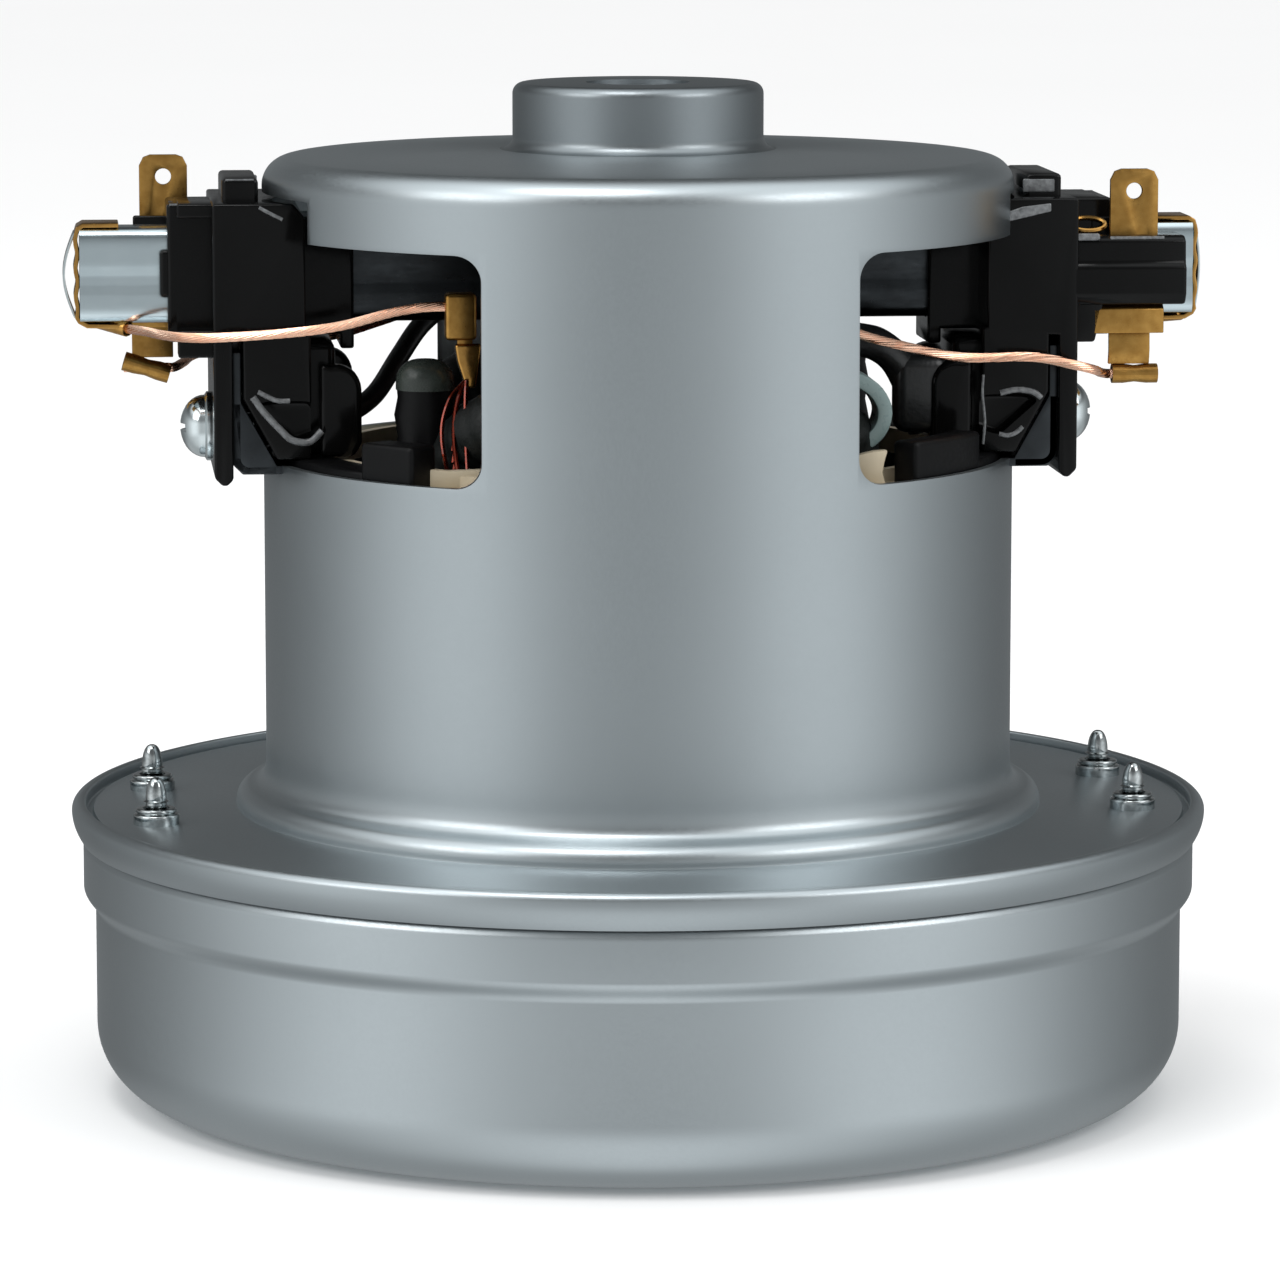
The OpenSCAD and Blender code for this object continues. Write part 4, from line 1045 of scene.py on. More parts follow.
@dataclass
class BrushGear:
    """One side's holder, tube, clip, terminal, leads, screw and spring."""

    side: Side
    # Holder: middle of the brush, half the width, the plate on the tongue, collar and block
    brush_z: float = 98.0
    half: float = 13.0
    plate_x0: float = 48.5
    plate_x1: float = 50.7
    collar_x1: float = 55.8
    block_x0: float = 40.0
    foot_z: float = 74.2
    # Tube: half the width, half the height, its ends, and the play in its channel
    tube_y: float = 3.8
    tube_z: float = 5.6
    tube_x0: float = 14.5
    tube_x1: float = 66.0
    tube_play: float = 0.05
    # Arm beside the tube
    arm_x1: float = 63.6
    arm_y0: float = -13.0
    arm_y1: float = -5.2
    arm_z0: float = 94.4
    arm_z1: float = 102.5
    # Push-on tab: middle, width, thickness and top
    tab_x: float = 57.4
    tab_y: float = -9.1
    tab_w: float = 5.7
    tab_t: float = 0.8
    tab_top: float = 111.4
    # Fixing screw of the holder, and the crimp of the terminal
    screw_z: float = 80.7
    crimp_z: float = 86.0
    # Stranded leads: core, the strands laid round it, and the routes of their middles
    core_r: float = 0.516
    strand_count: int = 12
    strand_r: float = 0.14
    strand_out: float = 0.435
    strand_lay: float = 15.0
    clip_crimp: tuple[Point, Point] = ((65.0, -2.4, 92.6), (60.4, 2.9, 91.7))
    brush_route: tuple[Point, ...] = (
        (64.2, -1.5, 92.4), (62.6, 0.4, 92.1), (61.0, 2.2, 91.8), (59.9, 3.5, 91.7), (58.2, 6.6, 91.7),
        (56.4, 10, 91.6), (53.8, 13.2, 91.6), (50, 14.5, 91.7), (42, 15, 92.2), (36, 16.2, 93.1),
        (30.5, 19.2, 94.8), (27.6, 21.2, 95.5), (25.6, 21.6, 95.7), (23.2, 21.6, 95.7),
    )  # fmt: skip
    mains_route: tuple[Point, ...] = (
        (60.8, -9.1, 86), (58, -9.1, 86), (55.8, -9.1, 86), (54.8, -9.2, 86), (53.6, -11.4, 86.4),
        (52.6, -13.7, 86.9), (50, -14.7, 87.6), (45, -14.9, 88.6), (36.4, -16.4, 88.8),
        (29.4, -19.4, 90.4), (23.6, -23, 92.2), (20, -25.2, 94), (17.4, -25.8, 94.6),
        (14.6, -25.8, 94.6),
    )  # fmt: skip

    @property
    def tab_shift(self) -> float:
        """Where this side's tab stands along its slot, from the slot's middle."""
        return -1.5 if self.side is Side.LEFT else 0.45

    @property
    def tab_drop(self) -> float:
        """How far this side's tab is pressed further down."""
        return 0.0 if self.side is Side.LEFT else 1.2

    def place(
        self,
        name: str,
        piece: bpy.types.Object,
        finish: Finish,
        stands_for: Sequence[str] = (),
        slot: str = "",
        body: Body = Body.FRAME,
        crease: float = 32,
    ) -> bpy.types.Object:
        """Turns a right-hand piece to this side, names it and dresses it.

        Args:
            name: Name without the side.
            piece: The piece as drawn for the right side.
            finish: What it is made of.
            stands_for: Nodes that it is shown for, without the side.
            slot: Not used.
            body: The body that it rides on.
            crease: Angle past which an edge stays sharp, in degrees.

        Returns:
            The dressed piece.
        """
        settle(piece)
        piece.data.transform(self.side.turn)
        piece.name = f"{self.side.label}_{name}"
        nodes = [f"{self.side.label}_{node}" for node in stands_for]
        return dress(piece, finish, body, nodes, crease)

    def holder(self) -> None:
        """Moulded holder: plate, block round the tube, collar, arm, snout and lower box."""
        x0, x1, y, z = self.plate_x0, self.plate_x1, self.half, self.brush_z
        top, low, foot = z + 9, z - 7, self.foot_z
        box_x0, box_x1 = self.block_x0 - 0.6, x0 - 1.2
        outline = [
            (x0, foot + 0.7), (x0 + 0.7, foot), (x1 - 0.9, foot), (x1, foot + 0.9), (x1, top),
            (self.block_x0 + 1.4, top), (self.block_x0, top - 1.6), (self.block_x0, low), (x0, low),
        ]  # fmt: skip
        body = round_edges(side_slab("holder_body", outline, -y, y), 0.45, 3)
        lower = [(43.4, 77.2), (box_x1, 84.3), (box_x1, low + 1), (box_x0, low + 1), (box_x0, 77.2)]
        additions = [
            # Raised block on top, just outside the can, with a lower shelf beside it
            block("raised_block", (45.2, -8, top - 1), (x0 + 0.9, 8, z + 11.6), 0.5),
            block("raised_shelf", (x0, -5.4, top - 2), (x1 + 4.0, 7.6, top - 0.35), 0.3),
            block("low_shelf", (x1 - 1, 5.4, z - 9.2), (x1 + 4.0, 9, low + 1), 0.3),
            # Collar round the tube, with a nub on its outer face
            block("collar", (x1 - 1, -6.2, z - 7.6), (self.collar_x1, 6.2, top - 0.4), 0.45),
            block(
                "collar_nub", (self.collar_x1 - 0.6, 4.0, z - 2.4), (self.collar_x1 + 0.9, 5.9, z + 3.2), 0.5
            ),
            # Snout round the tube inside the can, with a foot under its inner end
            block("snout", (34, -5.1, z - 6.9), (self.block_x0 + 1, 5.1, z + 6.9), 0.4),
            block("snout_foot", (34, -5.1, z - 8.6), (35.6, 5.1, z - 6), 0.3),
            # Lower box that reaches in over the window's sill
            round_edges(side_slab("lower_box", lower, -y, y), 0.35, 3),
            block("inner_box", (36.4, -9.4, 77.4), (self.block_x0 + 1, 9.4, low - 0.4), 1.0),
            # Rounded fins at the inner end
            *[self.fin(yy) for yy in (-y + 0.6, y - 4.2)],
        ]
        for other in additions:
            combine(body, other)
        wide, high = self.tube_y + self.tube_play, self.tube_z + self.tube_play
        channel = block("tube_channel", (30, -wide, z - high), (60, wide, z + high))
        for cutter in (channel, self.pocket(-1), self.pocket(1)):
            combine(body, cutter, "DIFFERENCE")
        self.place("holder_moulding", body, PHENOLIC, ["brush_holder"], "black_phenolic", crease=40)
        self.ribs()
        self.arm()

    def fin(self, y: float) -> bpy.types.Object:
        """Rounded fin at the holder's inner end, 3.6 mm thick from a place along Y."""
        outline = [(38.4, 77.4), (38.4, 88.4), *arc(36.4, 85.2, 2.9, 75, 180, 8), (33.5, 79), (34.4, 77.4)]
        return round_edges(side_slab("fin", outline, y, y + 3.6), 0.7, 3)

    @staticmethod
    def rib(route: Iterable[Point], y: float, radius: float, sides: int = 12) -> bpy.types.Object:
        """Rounded rib along a smooth route in X and Z, at a place along Y."""
        return wire("rib", smooth([(x, y, z) for x, z in route], 4), radius, sides)

    def ribs(self) -> None:
        """Raised ribs and ledges in light grey: painted highlights along the edges, which differ from face to
        face.
        """
        y, z = self.half, self.brush_z
        line_y, line_z = self.arm_y0 + 1.05, self.arm_z1 - 0.25
        frame = [(46.2, 84.6), (45.0, 82.9), (43.0, 80.7), (41.6, 79.5), (39.6, 79.3), (38.2, 80.6)]
        ledge = [
            (41.2, z + 6.2), (42.6, z + 6.4), (47.4, z + 7.5),
            (47.4, z + 8.5), (44.0, z + 8.1), (41.2, z + 7.2),
        ]  # fmt: skip
        pieces = [
            # Frame of the pocket on the side towards +Y, and the short rib above it
            self.rib(frame, y + 0.05, 0.42),
            self.rib([(45.6, 85.2), (43.6, 84.2), (41.9, 84.1)], y, 0.3),
            # Straight edges of the top, the raised block and the collar
            wire("top_edge", [(45.3, y - 0.1, z + 8.6), (44.2, y, z + 8.0), (42.6, y, z + 7.2)], 0.22, 10),
            wire("block_edge", [(45.7, 7.85, z + 11.45), (49.0, 7.85, z + 11.45)], 0.13, 8),
            wire("collar_edge", [(51.2, 6.05, z + 8.5), (55.5, 6.05, z + 8.5)], 0.13, 8),
            # Edges of the pocket on the side towards -Y
            self.rib([(41.5, 84.2), (43.5, 84.6), (45.4, 84.3), (46.4, 83.6)], -y, 0.36),
            self.rib([(41.4, 79.4), (42.4, 79.2), (43.4, 79.5), (44.2, 80.2)], -y, 0.28),
            self.rib([(39.5, 86.4), (39.4, 84.0), (39.7, 81.0), (39.5, 78.2)], -y, 0.18, 10),
            block("block_face", (44.8, -8.08, z + 9.4), (48.6, -7.6, z + 11.0), 0.2),
            round_edges(side_slab("ledge", ledge, -y - 0.12, -y + 0.6), 0.2, 3),
            # Edges along the arm
            block(
                "arm_edge",
                (self.plate_x1 - 2.6, self.arm_y0 + 0.3, self.arm_z1 - 0.5),
                (self.plate_x1 + 2.6, self.arm_y0 + 1.2, self.arm_z1 + 0.35),
                0.3,
            ),
            wire("arm_line", [(54.6, line_y, line_z), (61.0, line_y, line_z)], 0.2, 8),
        ]
        # The light grey of these ribs and bars is painted highlight
        piece = join("painted_highlight_ribs", pieces)
        self.place("painted_highlight_ribs", piece, HIGHLIGHT_PAINTED_PHENOLIC, slot="black_phenolic", crease=40)

    def pocket(self, sign: int) -> bpy.types.Object:
        """Sloping pocket in the lower box's side, to be cut away.

        Args:
            sign: -1 for the side towards -Y, 1 for the side towards +Y.

        Returns:
            The cutter.
        """
        y0, past = sign * (self.half - 2.6), sign * 20
        outline = [(46.2, 83.4), (44.4, 84.2), (39.2, 84.0), (38.6, 80.2), (41.4, 79.2)]
        cutter = side_slab("pocket", outline, min(y0, past), max(y0, past))
        return round_edges(cutter, 0.8, 3, 20)

    def arm(self) -> None:
        """Arm beside the tube that carries the terminal, with a ridge along it."""
        y0, y1, z0, z1 = self.arm_y0, self.arm_y1, self.arm_z0, self.arm_z1
        ridge = (z0 + z1) / 2 + 0.4
        section = [
            (y1, z0), (y1, z1), (y0 + 1.6, z1), (y0 + 0.7, z1 - 0.5), (y0 + 0.5, ridge + 0.5),
            (y0, ridge), (y0, z0 + 1.2), (y0 + 0.8, z0),
        ]  # fmt: skip
        start = self.plate_x1 - 0.6
        arm = slab("arm", [(start, yy, zz) for yy, zz in section], (self.arm_x1 - start, 0, 0))
        round_edges(arm, 0.35, 3, 25)
        heel_line = [
            (start, z0 + 1), (start, z0 - 4.4),
            (self.plate_x1 + 2.2, z0 - 4.4), (self.plate_x1 + 3.4, z0 + 1),
        ]  # fmt: skip
        heel = side_slab("heel", heel_line, y0 + 1.2, y1 - 0.8)
        combine(arm, round_edges(heel, 0.3))
        combine(arm, block("tab_ridge", (53.2, y1 - 1.1, z1 - 1), (59.6, y1, z1 + 1.9), 0.3))
        # Slot for the tab, with a little play all round
        x, reach, wide = self.tab_x + self.tab_shift, self.tab_w / 2 + 0.05, self.tab_t / 2 + 0.05
        low, high = (x - reach, self.tab_y - wide, z0 - 2), (x + reach, self.tab_y + wide, z1 + 2)
        combine(arm, block("slot", low, high), "DIFFERENCE")
        self.place("terminal_arm", arm, PHENOLIC, ["brush_holder"], "black_phenolic", crease=40)

    def tube(self) -> None:
        """Folded brush tube, grooved along its sides, bright outside the can and darker inside it, where the
        dark grey is painted shade.
        """
        y, z, mid = self.tube_y, self.tube_z, self.brush_z
        wall, joint_x = 0.5, self.plate_x1 - 0.5
        half = [
            (y - 1.3, z), (y - 0.4, z - 0.35), (y, z - 1.2), (y, 1.0), (y - 0.3, 0.1), (y - 0.3, -1.2),
            (y, -2.1), (y, -z + 1.2), (y - 0.4, -z + 0.35), (y - 1.3, -z),
        ]  # fmt: skip
        section = [*half, *[(-yy, zz) for yy, zz in reversed(half)]]
        inner = [(y - wall, z - wall), (y - wall, -z + wall), (-y + wall, -z + wall), (-y + wall, z - wall)]
        for name, start, stop, finish in (
            ("brush_tube_outer", joint_x, self.tube_x1, TUBE_ZINC),
            ("brush_tube_inner", self.tube_x0, joint_x, SHADE_PAINTED_ZINC),
        ):
            length = stop - start
            tube = slab(name, [(start, a, mid + b) for a, b in section], (length, 0, 0))
            bore = slab("bore", [(start - 1, a, mid + b) for a, b in inner], (length + 2, 0, 0))
            combine(tube, bore, "DIFFERENCE")
            self.place(name, tube, finish, ["brush_tube"], "zinc_tube", crease=50)

    def clip(self) -> None:
        """Spring brass clip over the tube's end, with bulging ears and the lead's crimp."""
        x1, z, w = self.tube_x1 + 0.35, self.brush_z, 3.1
        top, low = z + self.tube_z + 0.3, z - self.tube_z - 0.3
        # Three shallow waves down the end of the tube
        steps, waves, swing = 24, 3, 0.12
        wave = [
            (x1 + swing * math.sin(math.tau * waves * i / steps), top - 1 + (low + 2 - top) * i / steps)
            for i in range(steps + 1)
        ]
        line = [
            (self.tube_x1 - 4.6, top), (x1 - 0.8, top), (x1 - 0.2, top - 0.35), *wave, (x1 - 0.3, low + 0.5),
            (x1 - 1.2, low), (self.tube_x1 - 4.8, low - 0.1),
        ]  # fmt: skip
        strap = strip("clip_strap", [(x, -w, zz) for x, zz in line], (0, 2 * w, 0), 0.5, 0.1)
        crimp = round_edges(rod("clip_crimp", self.clip_crimp[0], self.clip_crimp[1], 0.95, 14), 0.25)
        piece = join("end_clip", [strap, crimp])
        self.place("end_clip_brass", piece, CLIP_BRASS, ["end_clip"], "clip_brass", crease=40)
        # The bow bulges further on the left
        out, half = (1.3 if self.side is Side.LEFT else 0.5), 5.0
        bow = [(x1 + 0.2 + out * math.cos(math.pi / 2 * i / 8), z + half * i / 8) for i in range(-8, 9)]
        spring = strip("clip_bow", [(x, -w + 1, zz) for x, zz in bow], (0, 2 * w - 2, 0), 0.28, 0.06)
        self.place("end_clip_bow", spring, BRIGHT_ZINC, ["end_clip"], "clip_brass", crease=40)

    def crimp(self, name: str, start: Point, stop: Point, radius: float) -> bpy.types.Object:
        """Rolled crimp barrel round a lead, open along one side and pinched in the middle.

        Args:
            name: The object's name.
            start: One end of the barrel's middle line, in millimetres.
            stop: Its other end.
            radius: Outer radius of the barrel.

        Returns:
            The barrel.
        """
        a, b = Vector(start), Vector(stop)
        along = (b - a).normalized()
        across = along.cross(Vector((0, 0, 1))).normalized()
        up = across.cross(along)
        gap_at, wrap, steps, pinch = 100, 340, 20, 0.14
        turns = [math.radians(gap_at + wrap * i / steps) for i in range(steps + 1)]
        ring = [a + radius * (math.cos(t) * across + math.sin(t) * up) for t in turns]
        barrel = draw_line(name, ring)
        with editing(barrel):
            bpy.ops.mesh.extrude_region_move(TRANSFORM_OT_translate={"value": metres(b - a)})
            bpy.ops.mesh.select_all(action="SELECT")
            bpy.ops.mesh.subdivide(number_cuts=3)
            bpy.ops.mesh.normals_make_consistent(inside=False)
        middle, reach = (a + b) / 2 * MM, (b - a).length / 2 * MM
        for vertex in barrel.data.vertices:
            rel = vertex.co - middle
            share = abs(rel.dot(along)) / reach
            core = rel - rel.dot(along) * along
            vertex.co -= core * pinch * max(0.0, 1 - 2 * share)
        apply_modifier(barrel, "SOLIDIFY", thickness=0.35 * MM, offset=-1.0)
        return barrel

    def terminal(self) -> None:
        """Push-on tab, folded bar under the arm, and the strap with its crimp."""
        x, y, w, t = self.tab_x + self.tab_shift, self.tab_y, self.tab_w / 2, self.tab_t
        z0, top = self.arm_z0, self.tab_top - self.tab_drop
        tab_line = [
            (x - w, z0 - 1), (x + w, z0 - 1), (x + w, top - 1.3), (x + w - 0.5, top - 0.3),
            (x + w - 1.3, top), (x - w + 1.3, top), (x - w + 0.5, top - 0.3), (x - w, top - 1.3),
        ]  # fmt: skip
        tab = side_slab("tab", tab_line, y - t / 2, y + t / 2)
        hole_z = top - 2.6
        combine(tab, rod("tab_hole", (x, y - 2, hole_z), (x, y + 2, hole_z), 0.95), "DIFFERENCE")
        round_edges(tab, 0.16, 2, 50)
        x = self.tab_x
        left = x - 4.6
        channel = [
            (left, y - 2.4, z0 - 3.4), (left, y - 2.4, z0 - 0.7), (left, y - 1.9, z0 - 0.25),
            (left, y + 1.9, z0 - 0.25), (left, y + 2.4, z0 - 0.7), (left, y + 2.4, z0 - 3.4),
        ]  # fmt: skip
        bar = strip("bar", channel, (8.3, 0, 0), 0.6, 0.12)
        strap_line = [
            (x - 2.5, y - 0.2, z0 - 2), (x - 2.5, y - 0.5, z0 - 4), (x - 2.5, y - 0.6, z0 - 5.6),
            (x - 2.5, y - 0.2, z0 - 7.2),
        ]  # fmt: skip
        strap = strip("strap", strap_line, (4.9, 0, 0), 0.5, 0.1)
        # The left crimp was pinched at a slant
        z, tilt = self.crimp_z, 0.8 if self.side is Side.LEFT else 0.0
        crimp = self.crimp("strap_crimp", (x - 2, y, z - tilt), (x + 3.4, y, z + tilt), 1.15)
        piece = join("terminal", [tab, bar, strap, crimp])
        self.place("terminal_brass", piece, TAB_BRASS, ["terminal"], "terminal_brass", crease=40)

    def ring(self) -> None:
        """Oval brass eyelet that stands on the arm's root."""
        x, y, z = 52.6, -7.6, self.brush_z + self.tube_z - 0.05
        long, short, lean = 2.1, 1.1, 0.7
        angles = [math.tau * i / 28 for i in range(28)]
        loop = [(x + long * math.cos(a), y + short * math.sin(a), z + lean * math.sin(a)) for a in angles]
        piece = wire("oval_ring", loop, 0.3, 8, closed=True)
        self.place("clip_ring", piece, CLIP_BRASS, slot="clip_brass")

    def strands(self, route: Sequence[Point]) -> bpy.types.Object:
        """Stranded copper lead: a core and fine strands laid round it.

        Args:
            route: The lead's middle line in millimetres.

        Returns:
            The lead.
        """
        line = smooth(route, 8)
        last = len(line) - 1
        frames, length = [], 0.0
        for i, p in enumerate(line):
            length += (p - line[max(i - 1, 0)]).length
            heading = (line[min(i + 1, last)] - line[max(i - 1, 0)]).normalized()
            across = heading.cross(Vector((0, 0, 1))).normalized()
            frames.append((p, across, across.cross(heading), length / self.strand_lay))
        pieces = [wire("core", line, self.core_r, 12)]
        for k in range(self.strand_count):
            points = []
            for p, across, up, laid in frames:
                turn = math.tau * (k / self.strand_count + laid)
                points.append(p + self.strand_out * (math.cos(turn) * across + math.sin(turn) * up))
            pieces.append(wire("strand", points, self.strand_r, 6))
        return join("lead", pieces)

    def leads(self) -> None:
        """Bare stranded leads from the clip and from the terminal to the field."""
        for node, route in (("brush_lead", self.brush_route), ("mains_lead", self.mains_route)):
            self.place(f"{node}_strands", self.strands(route), COPPER, [node], "bare_copper")

    def screw(self) -> None:
        """Round-head fixing screw with a cross slot and its washer."""
        r, h, x = 3.7, 3.1, self.plate_x1
        # The left screw sits a little lower in its slotted hole
        z = self.screw_z - (0.8 if self.side is Side.LEFT else 0.0)
        angles = [math.radians(a) for a in range(0, 90, 10)]
        dome = [(r * math.cos(a), 0.8 + (h - 0.2) * math.sin(a)) for a in angles]
        head = lathe("screw_head", [(0, 0), (4.1, 0), (4.1, 0.55), (3.8, 0.75), *dome, (0, 0.6 + h)], 48)
        for low, high in (((-0.45, -2.3, 2.1), (0.45, 2.3, 5)), ((-2.3, -0.45, 2.1), (2.3, 0.45, 5))):
            combine(head, block("slot", low, high), "DIFFERENCE")
        round_edges(head, 0.12, 2, 45)
        head.data.transform(Matrix.Translation(metres((x, 0, z))) @ Matrix.Rotation(math.pi / 2, 4, "Y"))
        shank = rod("shank", (x - 5, 0, z), (x + 0.4, 0, z), 1.5)
        screw = join("holder_screw", [head, shank])
        self.place("holder_screw", screw, BRIGHT_ZINC, slot="zinc_screw", crease=40)
        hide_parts("holder_screws")

    def spring(self) -> None:
        """Brush spring as a smooth round wire."""
        low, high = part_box("right_brush_spring")
        turns, per, r, wire_r, stroke = 12, 16, 2.6, 0.3, 8
        x0, x1 = low.x / MM + wire_r, high.x / MM - wire_r
        points = []
        for i in range(turns * per + 1):
            a, share = math.tau * i / per, i / (turns * per)
            points.append((x0 + (x1 - x0) * share, r * math.cos(a), self.brush_z + r * math.sin(a)))
        piece = wire("spring", points, wire_r, 8)
        self.place("brush_spring_wire", piece, GROUND_STEEL, ["brush_spring"], "spring_steel")
        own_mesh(piece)

    def build(self) -> None:
        """Builds and dresses this side's brush gear."""
        self.holder()
        self.tube()
        self.clip()
        self.terminal()
        self.ring()
        self.leads()
        self.screw()
        self.spring()


@dataclass
class Field:
    """Field coils, their terminals, leads and loose magnet wires."""

    # Coils: inner and outer radius, top and foot, half the angle, thickness and the tape's pitch
    coil_in: float = 26.0
    coil_out: float = 35.3
    coil_top: float = 88.0
    coil_low: float = 35.5
    end_a: float = 55.0
    bundle_r: float = 4.3
    tape_step: float = 1.5
    # Lamination stack
    stack_z: float = 46.0
    stack_top: float = 74.0
    # Sleeved leads: a thin one on the left and a thick one on the right
    sleeve_r: float = 1.2
    sleeve_route: tuple[Point, ...] = (
        (36.3, -3, 80.6), (34.4, -3.4, 80.8), (31, -6.4, 82.8), (28, -10.4, 86.6),
        (25, -14.6, 90.2), (21.6, -19, 92.4), (19, -22.2, 93.2), (17.8, -23.6, 93.3),
    )  # fmt: skip
    thick_r: float = 2.0
    thick_route: tuple[Point, ...] = (
        (33.2, -8.6, 79.6), (32.2, -8.8, 82.6), (31, -9.2, 85.6), (29.4, -10, 88.2), (27, -11.8, 90),
        (24.4, -14.4, 90.8), (21.8, -18, 91.3), (19, -22, 92),
    )  # fmt: skip
    # Foot of each crimp block on the right, and middle of the bound coil ends
    terminals: tuple[Point, ...] = ((22.6, 21.6, 92.4), (15, -25.8, 91.8))
    column: tuple[float, float] = (26.5, 18.5)

    def coil(self, name: str, node: str, turn: Matrix) -> None:
        """Taped saddle coil: a fat rounded bundle bent round its pole, with tape turns as ridges.

        Args:
            name: The piece's name.
            node: The part's node that it is shown for.
            turn: Where the coil goes from the front pole.
        """
        # The bundle's middle line: radius, top, foot and half the angle, with rounded corners
        mid_r = (self.coil_in + self.coil_out) / 2
        top, low, a1 = self.coil_top - 5.6, self.coil_low + 4.6, self.end_a - 9
        steps, corner_a, corner_z = 16, 14, 6
        bends = [math.pi / 2 * i / steps for i in range(steps + 1)]
        corners = [
            (a1 - corner_a + corner_a * math.sin(b), top - corner_z + corner_z * math.cos(b)) for b in bends
        ]
        right = [*corners, *[(a, low + (top - z)) for a, z in reversed(corners)]]
        loop = [*right, *[(-a, z) for a, z in reversed(right)]]
        points = []
        for (a, z), (b, w) in zip(loop, [*loop[1:], loop[0]]):
            gap = math.hypot(math.radians(b - a) * mid_r, w - z)
            count = max(1, round(gap / self.tape_step))
            for k in range(count):
                t = math.radians(a + (b - a) * k / count)
                points.append(Vector((mid_r * math.sin(t), -mid_r * math.cos(t), z + (w - z) * k / count)))
        bundle = wire("bundle", points, self.bundle_r, 24, closed=True)
        for vertex in bundle.data.vertices:
            near = min(range(len(points)), key=lambda i: (points[i] * MM - vertex.co).length_squared)
            # Every third ring stands out a little, as the tape's edge does
            ridge = 1 + 0.025 * (1 if near % 3 == 0 else -1)
            core = points[near] * MM
            vertex.co = core + (vertex.co - core) * ridge
            r = math.hypot(vertex.co.x, vertex.co.y) / MM
            vertex.co.xy *= min(max(r, self.coil_in), self.coil_out) / r
        bundle.data.transform(turn)
        bundle.name = name
        dress(bundle, TAPE, stands_for=[node], crease=60)

    def terminal_blocks(self) -> None:
        """Brass crimp blocks on the coils with hooked stems."""
        blocks, hooks = [], []
        for x, y, z in self.terminals:
            low, high = (x - 1.8, y - 1.5, z - 0.5), (x + 1.8, y + 1.5, z + 4.9)
            blocks.append(block("terminal_block", low, high, 0.5))
            stem = [(x - 1.4, y, z + 0.2), (x - 1.4, y, z - 1.2)]
            blocks.append(strip("terminal_stem", stem, (1.8, 0, 0), 0.7, 0.15))
            outline = [
                (x + 0.7, z - 1.0), (x + 0.4, z - 3.0), (x - 0.3, z - 5.2), (x - 0.7, z - 6.1),
                (x - 1.7, z - 6.1), (x - 2.0, z - 4.0), (x - 2.4, z - 1.0),
            ]  # fmt: skip
            hooks.append(round_edges(side_slab("terminal_hook", outline, y - 0.8, y + 0.8), 0.35, 3))
        for name, parts, finish in (
            ("coil_terminal_blocks", blocks, TAB_BRASS),
            ("coil_terminal_hooks", hooks, CLIP_BRASS),
        ):
            piece = join(name, copy_at(join(name, parts), [side.turn for side in Side]))
            dress(piece, finish, stands_for=["coil_terminals"])

    def sleeves(self) -> None:
        """Black sleeved leads from the holders to the coils."""
        leads = [
            wire("sleeved_lead", smooth(self.sleeve_route, 6), self.sleeve_r, 16),
            wire("sleeved_lead", smooth(self.thick_route, 6), self.thick_r, 18),
        ]
        leads[0].data.transform(Side.LEFT.turn)
        leads.append(block("boot", (29.2, -11.8, 79.4), (35.6, -7.6, 88.6), 1.5))
        dress(join("sleeved_lead_pair", leads), SLEEVE, stands_for=["sleeved_leads"])

    def loose_wires(self) -> None:
        """Enamelled wires that hang in arcs from the terminals to the coils, and ones across them."""
        hanging = ((-0.6, -5.2), (1.2, -7.0), (2.2, -9.5), (2.4, -11.8), (2.1, -14.2), (1.7, -16.0))
        crossing = ((-4.2, -7.2), (-2.2, -8.3), (-0.4, -9.5), (0.7, -11.0), (1.2, -13.0))
        parts = []
        for x, y, z in self.terminals:
            out = math.copysign(1.0, y)
            for k in range(3):
                bulge, drop = 1.0 - 0.45 * k, 1.3 * k
                front = [y + out * (0.3 + 0.5 * k + 1.1 * i) for i in range(len(hanging))]
                arcs = [(x - 0.6 + (dx + 0.6) * bulge, yy, z + dz) for (dx, dz), yy in zip(hanging, front)]
                across = [(x + dx, yy - 0.6 * out, z + dz - drop) for (dx, dz), yy in zip(crossing, front)]
                for route in (arcs, across):
                    parts.append(wire("magnet_wire", smooth(route, 6), 0.27, 8))
        bundle = join("magnet_wire", parts)
        piece = join("loose_magnet_wires", copy_at(bundle, [side.turn for side in Side]))
        dress(piece, MAGNET_WIRE)

    def liners(self) -> None:
        """Slot liner film: a short one beside each coil, and a flap that has curled up in front."""
        curl = [
            (22.4, 87.2), (23.9, 86.7), (25.4, 85.5), (26.3, 83.7), (26.1, 81.9), (25.2, 80.5), (23.9, 79.6),
            (22.6, 79.1), (21.4, 78.9),
        ]  # fmt: skip
        flap = strip("liner", smooth([(x, -24.6, z) for x, z in curl], 3), (0, 6.0, 0), 1.7, 0.4)
        line, steps, belly, height = [], 8, 1.6, 31
        for i in range(steps + 1):
            r = self.coil_in + 0.2 + (self.coil_out - self.coil_in + 0.4) * i / steps
            a = math.radians(-self.end_a - 0.8 - belly * math.sin(math.pi * i / steps))
            line.append((r * math.sin(a), -r * math.cos(a), self.stack_z - 2))
        film = strip("liner", line, (0, 0, height), 0.4)
        piece = join("slot_liner_films", [flap, *copy_at(film, [side.turn for side in Side])])
        dress(piece, FILM, stands_for=["slot_liners"])

